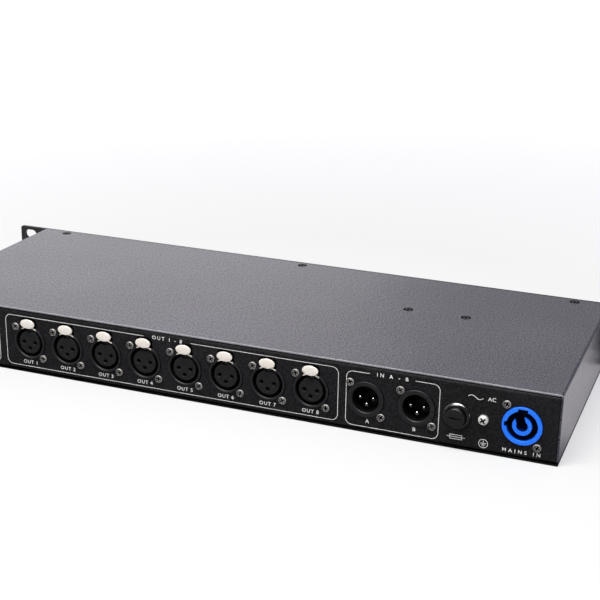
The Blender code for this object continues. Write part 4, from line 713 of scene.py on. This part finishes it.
def made_real(instances, finish, leave):
    """Ends a node group: real mesh from the instances, with the finish on it."""
    tree = instances.id_data
    real = add_node(tree, "GeometryNodeRealizeInstances", instances)
    feed(add_node(tree, "GeometryNodeSetMaterial", Geometry=real, Material=finish), leave)


def through(group, sockets, mesh, **inputs):
    """What a node group makes of the mesh, its inputs set by their sockets' identifiers."""
    holder = bpy.data.objects.new("holder", mesh)
    scene.collection.objects.link(holder)
    nodes = holder.modifiers.new("group", "NODES")
    nodes.node_group = group
    for label, value in inputs.items():
        nodes[sockets[label]] = value
    return evaluated(holder)


screws_on_points, entry, leave, screw_sockets = new_group(
    "screws_on_points", "Screws", Points="Geometry", Screw="Object", Facing="Vector", Seed="Int",
    Size="Float", Finish="Material")
master = add_node(screws_on_points, "GeometryNodeObjectInfo", Object=entry["Screw"])
screws_set = add_node(screws_on_points, "GeometryNodeInstanceOnPoints", Points=entry["Points"],
                      Instance=master.outputs["Geometry"], Rotation=entry["Facing"],
                      Scale=entry["Size"])
chance = add_node(screws_on_points, "FunctionNodeRandomValue", Max=math.tau, Seed=entry["Seed"])
about = add_node(screws_on_points, "ShaderNodeCombineXYZ", Y=chance)
made_real(add_node(screws_on_points, "GeometryNodeRotateInstances", Instances=screws_set,
                   Rotation=about), entry["Finish"], leave)


def set_screws(name, screw_mesh, places, facing, seed, mat):
    """Screws at the places, all facing one way, as one piece on the case."""
    points = bpy.data.meshes.new("points")
    points.from_pydata(places, [], [])
    screw = bpy.data.objects.new("screw", screw_mesh)
    scene.collection.objects.link(screw)
    mesh = through(screws_on_points, screw_sockets, points, Screw=screw, Facing=facing, Seed=seed,
                   Size=1.0, Finish=mat)
    bpy.data.objects.remove(screw)
    dress(mesh, name, mat, "case", "steel")


socket_screw_profile = [(0.0, 0.0006), (0.0019, 0.0006), (0.0021, 0.0011), (0.0024, 0.0007),
                        (0.0024, 0.0), (0.0013, 0.0), (0.0013, -0.0060), (0.0, -0.0060)]
socket_screw = turned(softened(socket_screw_profile, 0.00015, 5), 48)
socket_cross = [bar((-0.0014, -0.0004, -0.0004), (0.0014, 0.0030, 0.0004)),
                bar((-0.0004, -0.0004, -0.0014), (0.0004, 0.0030, 0.0014)),
                turned([(0.0, 0.0030), (0.0010, 0.0030), (0.0006, -0.0004), (0.0, -0.0008)], 20)]
socket_screw = fitted(socket_screw, socket_cross)
screw_out = 0.0099
screw_y = rear_face + 0.0001
screwed = [f"output_insert_{n}" for n in range(1, output_count + 1)]
screwed += ["input_pins_a", "input_pins_b"]
socket_screw_places = [
    (on_rear(node).x + side * screw_out, screw_y, row_z + side * screw_out)
    for node in screwed for side in (1, -1)]
socket_screw_places += [(inlet_place.x + side * 0.0095, screw_y, row_z + side * 0.0120)
                        for side in (1, -1)]
# The socket screws get painted shade in their recesses.
nickel = plated("nickel", (0.40, 0.385, 0.37), 0.40, depth=0.000002, metallic=0.35,
                painted_recess_shade=0.0020)
set_screws("socket_screws", socket_screw, socket_screw_places, (0.0, 0.0, 0.0), 3, nickel)

sink = 0.00005
sunk_profile = [(0.0, -sink), (0.0034, -sink), (0.0036, -0.00030), (0.0018, -0.0020),
                (0.0018, -0.0050), (0.0, -0.0050)]
sunk_screw = turned(softened(sunk_profile, 0.0001, 2), 40)
sunk_arms = [bar((-0.0019, -0.0016, -0.00045), (0.0019, 0.0010, 0.00045)),
             bar((-0.00045, -0.0016, -0.0019), (0.00045, 0.0010, 0.0019))]
sunk_screw = fitted(sunk_screw, sunk_arms)
cover_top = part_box("top_cover")[1].z + sink
front_screw_y = rear_face - 0.1613
cover_places = [(x, front_screw_y, cover_top) for x in (-0.1966, 0.0, 0.1966)]
for pillar in ("cover_pillar_1", "cover_pillar_2"):
    cover_places.append((middle_of(pillar).x, middle_of("cover_pillar_1").y, cover_top))
upwards = (math.pi / 2, 0.0, 0.0)
downwards = (-math.pi / 2, 0.0, 0.0)
# The black screws get painted shade in their recesses.
black_zinc = plated("black_zinc", (0.025, 0.025, 0.027), 0.45, metallic=0.2, painted_recess_shade=0.0015)
set_screws("cover_screws", sunk_screw, cover_places, upwards, 5, black_zinc)
base_places = [(x, y, -sink) for x in (-0.2150, 0.2150) for y in (-0.055, 0.0, 0.055)]
base_places += [(x, -0.0760, -sink) for x in (-0.12, 0.12)]
base_places += [(x, 0.0755, -sink) for x in (-0.14, 0.14)]
set_screws("base_screws", sunk_screw, base_places, downwards, 7, black_zinc)

# Printing on the rear panel. White ink, screen printed: a frame round each group of sockets, a
# plain word and number under each one, and common signs for the fuse, the earth and the mains.
ink_height = 0.00004


def ink_strip(path, width):
    """A printed line of even width through (across, up) points, as a thin closed solid."""
    bm = bmesh.new()
    pairs = []
    for i, point in enumerate(path):
        before, after = Vector(path[max(i - 1, 0)]), Vector(path[min(i + 1, len(path) - 1)])
        along = (after - before).normalized()
        side = Vector((-along.y, along.x)) * width / 2
        centre = Vector(point)
        pairs.append([bm.verts.new((*(centre + side * s), 0.0)) for s in (-1, 1)])
    faces = [bm.faces.new((a[0], b[0], b[1], a[1])) for a, b in zip(pairs, pairs[1:])]
    grown = bmesh.ops.extrude_face_region(bm, geom=faces)
    top = [g for g in grown["geom"] if isinstance(g, bmesh.types.BMVert)]
    bmesh.ops.translate(bm, vec=(0.0, 0.0, ink_height), verts=top)
    bmesh.ops.recalc_face_normals(bm, faces=bm.faces)
    return as_mesh(bm, "ink")


def ink_arc(across, up, radius, start, end, steps=8):
    """Points on an arc, in degrees."""
    turns = [math.radians(start + (end - start) * i / steps) for i in range(steps + 1)]
    return [(across + radius * math.cos(t), up + radius * math.sin(t)) for t in turns]


def ink_words(words, height, across, up, spacing=1.08):
    """Printed characters, centred on a point."""
    font = bpy.data.curves.new("words", "FONT")
    font.body = words
    font.size = height * 1.38
    font.align_x = "CENTER"
    font.align_y = "CENTER"
    font.extrude = ink_height / 2
    font.offset = height * 0.018
    font.resolution_u = 3
    font.space_character = spacing
    text = bpy.data.objects.new("words", font)
    scene.collection.objects.link(text)
    mesh = evaluated(text)
    mesh.transform(Matrix.Translation((across, up, ink_height / 2)))
    return mesh


def printed(name, marks, face_y, facing):
    """Ink marks laid on an upright face: facing is 1 on the rear panel, -1 on the rack panel."""
    mesh = merged(marks)
    turn = Matrix(((-facing, 0.0, 0.0), (0.0, 0.0, facing), (0.0, 1.0, 0.0))).to_4x4()
    mesh.transform(Matrix.Translation((0.0, face_y, 0.0)) @ turn)
    dress(mesh, name, ink_white, "case", "powder_coat")


def frame_line(left, right, low, high, gap_left, gap_right, corner=0.0040):
    """A frame with round corners that is open at the top for its heading."""
    path = [(gap_left, high)]
    path += ink_arc(left + corner, high - corner, corner, 90, 180)
    path += ink_arc(left + corner, low + corner, corner, 180, 270)
    path += ink_arc(right - corner, low + corner, corner, 270, 360)
    path += ink_arc(right - corner, high - corner, corner, 0, 90)
    return path + [(gap_right, high)]


ink_white = moulded("ink_white", (0.62, 0.62, 0.61), 0.55, grain_size=0.0006, spread=0.25)
line = 0.00035
output_frame = frame_line(-0.1457, 0.0860, 0.0046, 0.0390, -0.0440, -0.0113)
input_frame = frame_line(0.0911, 0.1484, 0.0038, 0.0384, 0.1054, 0.1335)
network_frame = frame_line(-0.2120, -0.1512, 0.0046, 0.0390, -0.1930, -0.1700)
marks = [ink_strip(path, line) for path in (output_frame, input_frame, network_frame)]
letters = 0.0024
marks.append(ink_words("OUT 1 - 8", letters, -0.0277, 0.0390, 1.5))
marks.append(ink_words("IN A - B", letters, 0.1195, 0.0384, 1.7))
marks.append(ink_words("NET", letters, -0.1815, 0.0390))
number_z = 0.0076
for number in range(1, output_count + 1):
    across = -on_rear(f"output_insert_{number}").x
    marks.append(ink_words(f"OUT {number}", letters, across, number_z, 1.2))
for letter, shift in (("a", 0.0015), ("b", -0.0008)):
    across = shift - on_rear(f"input_pins_{letter}").x
    marks.append(ink_words(letter.upper(), 0.0025, across, number_z))

sign_line = 0.00036
fuse_up = 0.0076
across = -fuse_place.x
fuse_sign = [(across - 0.0054, fuse_up), (across + 0.0054, fuse_up)]
marks.append(ink_strip(fuse_sign, sign_line))
half_w, half_h = 0.0036, 0.0013
for side in (-1, 1):
    up, out = fuse_up + side * half_h, across + side * half_w
    marks.append(ink_strip([(across - half_w, up), (across + half_w, up)], sign_line))
    marks.append(ink_strip([(out, fuse_up - half_h), (out, fuse_up + half_h)], sign_line))

earth_across, earth_up = 0.1755, 0.0064
earth_line = 0.00028
marks.append(ink_strip(ink_arc(earth_across, earth_up, 0.00265, 0, 360, 40), earth_line))
marks.append(ink_strip([(earth_across, earth_up + 0.0019), (earth_across, earth_up + 0.0001)],
                       earth_line))
for drop, reach in ((-0.0001, 0.0017), (0.0007, 0.00115), (0.0015, 0.0006)):
    marks.append(ink_strip([(earth_across - reach, earth_up - drop),
                            (earth_across + reach, earth_up - drop)], earth_line))

wave_up, wave_from, wave_to, wave_height = 0.0345, 0.1650, 0.1740, 0.0011
wave = [(wave_from + (wave_to - wave_from) * i / 24,
         wave_up + wave_height * math.sin(math.tau * i / 24)) for i in range(25)]
marks.append(ink_strip(wave, sign_line))
marks.append(ink_words("AC", letters, 0.1790, wave_up))
marks.append(ink_words("MAINS IN", 0.0023, 0.1978, 0.0050, 1.8))
ink_gap = 0.00001
printed("rear_printing", marks, rear_face + ink_gap, 1)

# Network jacks. Each has a tinned shield folded round a black moulded body, eight gilt contact
# wires over its mouth and a small lamp in each upper corner.
row_of_bodies, entry, leave, row_sockets = new_group(
    "row_of_bodies", "Row", Body="Geometry", Count="Int", Pitch="Float", Finish="Material")
row_step = add_node(row_of_bodies, "ShaderNodeCombineXYZ", X=entry["Pitch"])
row = add_node(row_of_bodies, "GeometryNodeMeshLine", Count=entry["Count"], Offset=row_step)
made_real(add_node(row_of_bodies, "GeometryNodeInstanceOnPoints", Points=row,
                   Instance=entry["Body"]), entry["Finish"], leave)

gilt = plated("gilt", (0.86, 0.64, 0.27), 0.22)
jack_shield = plated("jack_shield", (0.70, 0.70, 0.69), 0.30, streak=30.0)
jack_black = moulded("jack_black", (0.012, 0.012, 0.013), 0.42)
lamp_green = moulded("lamp_green", (0.10, 0.42, 0.12), 0.20)
lamp_amber = moulded("lamp_amber", (0.62, 0.36, 0.05), 0.20)
contact_count, contact_pitch = 8, 0.00102
for number in (1, 2):
    node = f"network_jack_{number}"
    low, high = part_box(node)
    middle, face, base = (low.x + high.x) / 2, high.y, low.z
    shield = filed(clean_copy(node), 0.0002)
    dress(shield, f"jack_shield_{number}", jack_shield, "case", "jack_metal", node)
    wall = 0.00035
    half, back, front = 0.0059, face - 0.0134, face - 0.0006
    mouth_low, mouth_high = base + 0.0046, base + 0.0116
    liner = [bar((middle - half, back, mouth_high - wall), (middle + half, front, mouth_high)),
             bar((middle - half, back, mouth_low), (middle + half, back + wall, mouth_high))]
    for side in (-1, 1):
        left, right = sorted((middle + side * half, middle + side * (half - wall)))
        liner.append(bar((left, back, mouth_low), (right, front, mouth_high - wall)))
    dress(filed(merged(liner), 0.00005), f"jack_liner_{number}", jack_black, "case",
          "black_plastic")
    wire = bar((-0.00017, -0.0112, -0.00014), (0.00017, 0.0, 0.00014))
    wire.transform(Matrix.Rotation(math.radians(16), 4, "X"))
    first_x = middle - contact_pitch * (contact_count - 1) / 2
    first_wire = set_at(wire, (first_x, face - 0.0014, mouth_high - wall - 0.0003))
    wires = through(row_of_bodies, row_sockets, first_wire, Count=contact_count,
                    Pitch=contact_pitch, Finish=gilt)
    dress(wires, f"jack_contacts_{number}", gilt, "case", "pin_metal")
    for side, lamp_mat, hue in ((-1, lamp_green, "green"), (1, lamp_amber, "amber")):
        x = middle + side * 0.0060
        lens = filed(bar((x - 0.0012, face - 0.0020, base + 0.0119),
                         (x + 0.0012, face + 0.0002, base + 0.0131)), 0.0002)
        dress(lens, f"jack_lamp_{hue}_{number}", lamp_mat, "case", "light_guide_clear")

# Front of the box. A dark acrylic window lies in the rack panel over the display, and four
# round keys and a row of ten lamps stand beside it.
acrylic, tree, shader = new_material("acrylic")
place = add_node(tree, "ShaderNodeTexCoord").outputs["Object"]
haze = noise(place, 300.0, 4.0)
fill(shader, Roughness=ranged(haze, 0.0, 1.0, 0.04, 0.14),
     Base_Color=blend(haze, (0.008, 0.009, 0.012), (0.014, 0.015, 0.020)))
window = filed(clean_copy("display_window"), 0.0003, 3)
dress(window, "window_pane", acrylic, "case", "window_acrylic", "display_window")

rack_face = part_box("front_panel")[0].y
key_black = moulded("key_black", (0.020, 0.020, 0.022), 0.42)
key_profile = [(0.0, -0.0013), (0.0020, -0.0014), (0.0029, -0.0016), (0.0035, -0.0011),
               (0.0035, 0.0023), (0.0044, 0.0023), (0.0044, 0.0029), (0.0, 0.0029)]
key = turned(softened(key_profile, 0.0002, 3), 64)
key_count = 4
key_middles = []
for number in range(1, key_count + 1):
    middle = middle_of(f"button_{number}")
    key_middles.append(middle)
    dress(set_at(key, (middle.x, rack_face, middle.z)), f"key_cap_{number}", key_black,
          f"key_{number}", "button_black", f"button_{number}")

guide_middle = middle_of("light_guide")
guide_milk = moulded("guide_milk", (0.55, 0.60, 0.56), 0.22)
guide = filed(clean_copy("light_guide"), 0.0002)
dress(guide, "lamp_lenses", guide_milk, "case", "light_guide_clear", "light_guide")

front_marks = []
lamp_count = 10
lamp_pitch = 0.0120
lamp_first = guide_middle.x - lamp_pitch * (lamp_count - 1) / 2
front_mid_z = guide_middle.z
for i in range(lamp_count):
    label = str(i + 1) if i < output_count else "AB"[i - output_count]
    front_marks.append(ink_words(label, letters, lamp_first + lamp_pitch * i,
                                 front_mid_z + 0.0055))
arrow = 0.0012
for middle, turn in zip(key_middles, (180, 90, 270, 0)):
    tip = [ink_arc(middle.x, front_mid_z + 0.0085, arrow, turn + corner, turn + corner, 1)[0]
           for corner in (0, 120, 240, 360)]
    front_marks.append(ink_strip(tip, 0.0004))
printed("front_printing", front_marks, rack_face - ink_gap, -1)

# Circuit boards and what stands on them. Green boards with black parts, a taped transformer, a
# sleeved capacitor, a finned heat sink and steel pillars, all behind the closed case.
board_green, tree, shader = new_material("board_green")
place = add_node(tree, "ShaderNodeTexCoord").outputs["Object"]
tracks = add_node(tree, "ShaderNodeTexBrick", Vector=place, Scale=260.0, Mortar_Size=0.03,
                  Color1=(0.010, 0.100, 0.040), Color2=(0.012, 0.120, 0.050),
                  Mortar=(0.030, 0.200, 0.090))
board_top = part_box("main_board")[0].z + 0.0018
above = add_node(tree, "ShaderNodeMath", ways(place)["Z"], board_top, operation="GREATER_THAN")
fill(shader, Base_Color=blend(above, tracks.outputs["Color"], (0.014, 0.014, 0.015)),
     Roughness=0.42, Normal=bumpy(tracks.outputs["Fac"], 0.3, 0.00003))

carried = {
    "main_board": board_green,
    "power_supply_board": board_green,
    "front_board": moulded("front_board_green", (0.010, 0.110, 0.045), 0.42, grain_size=0.0012),
    "display_module": moulded("display_shade", (0.030, 0.036, 0.042), 0.30),
    "transformer": moulded("winding_tape", (0.62, 0.42, 0.07), 0.45, grain_size=0.0010,
                           depth=0.00010),
    "smoothing_capacitor": moulded("sleeve_black", (0.020, 0.022, 0.032), 0.32),
    "heat_sink": plated("sink_aluminium", (0.60, 0.61, 0.62), 0.42, streak=20.0),
    "cover_pillar_1": zinc,
    "cover_pillar_2": zinc,
    "ribbon_cable": moulded("ribbon_grey", (0.34, 0.34, 0.35), 0.50, grain_size=0.0013,
                            depth=0.00020),
    "live_lead": moulded("lead_brown", (0.110, 0.040, 0.016), 0.40),
    "fused_lead": moulded("lead_brown_fused", (0.110, 0.040, 0.016), 0.40),
    "neutral_lead": moulded("lead_blue", (0.020, 0.070, 0.400), 0.40),
    "earth_lead": moulded("lead_green", (0.050, 0.300, 0.060), 0.40),
}
for node, mat in carried.items():
    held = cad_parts[node].data
    held.materials.clear()
    held.materials.append(mat)

# The last line takes the box round what is drawn.
low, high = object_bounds()
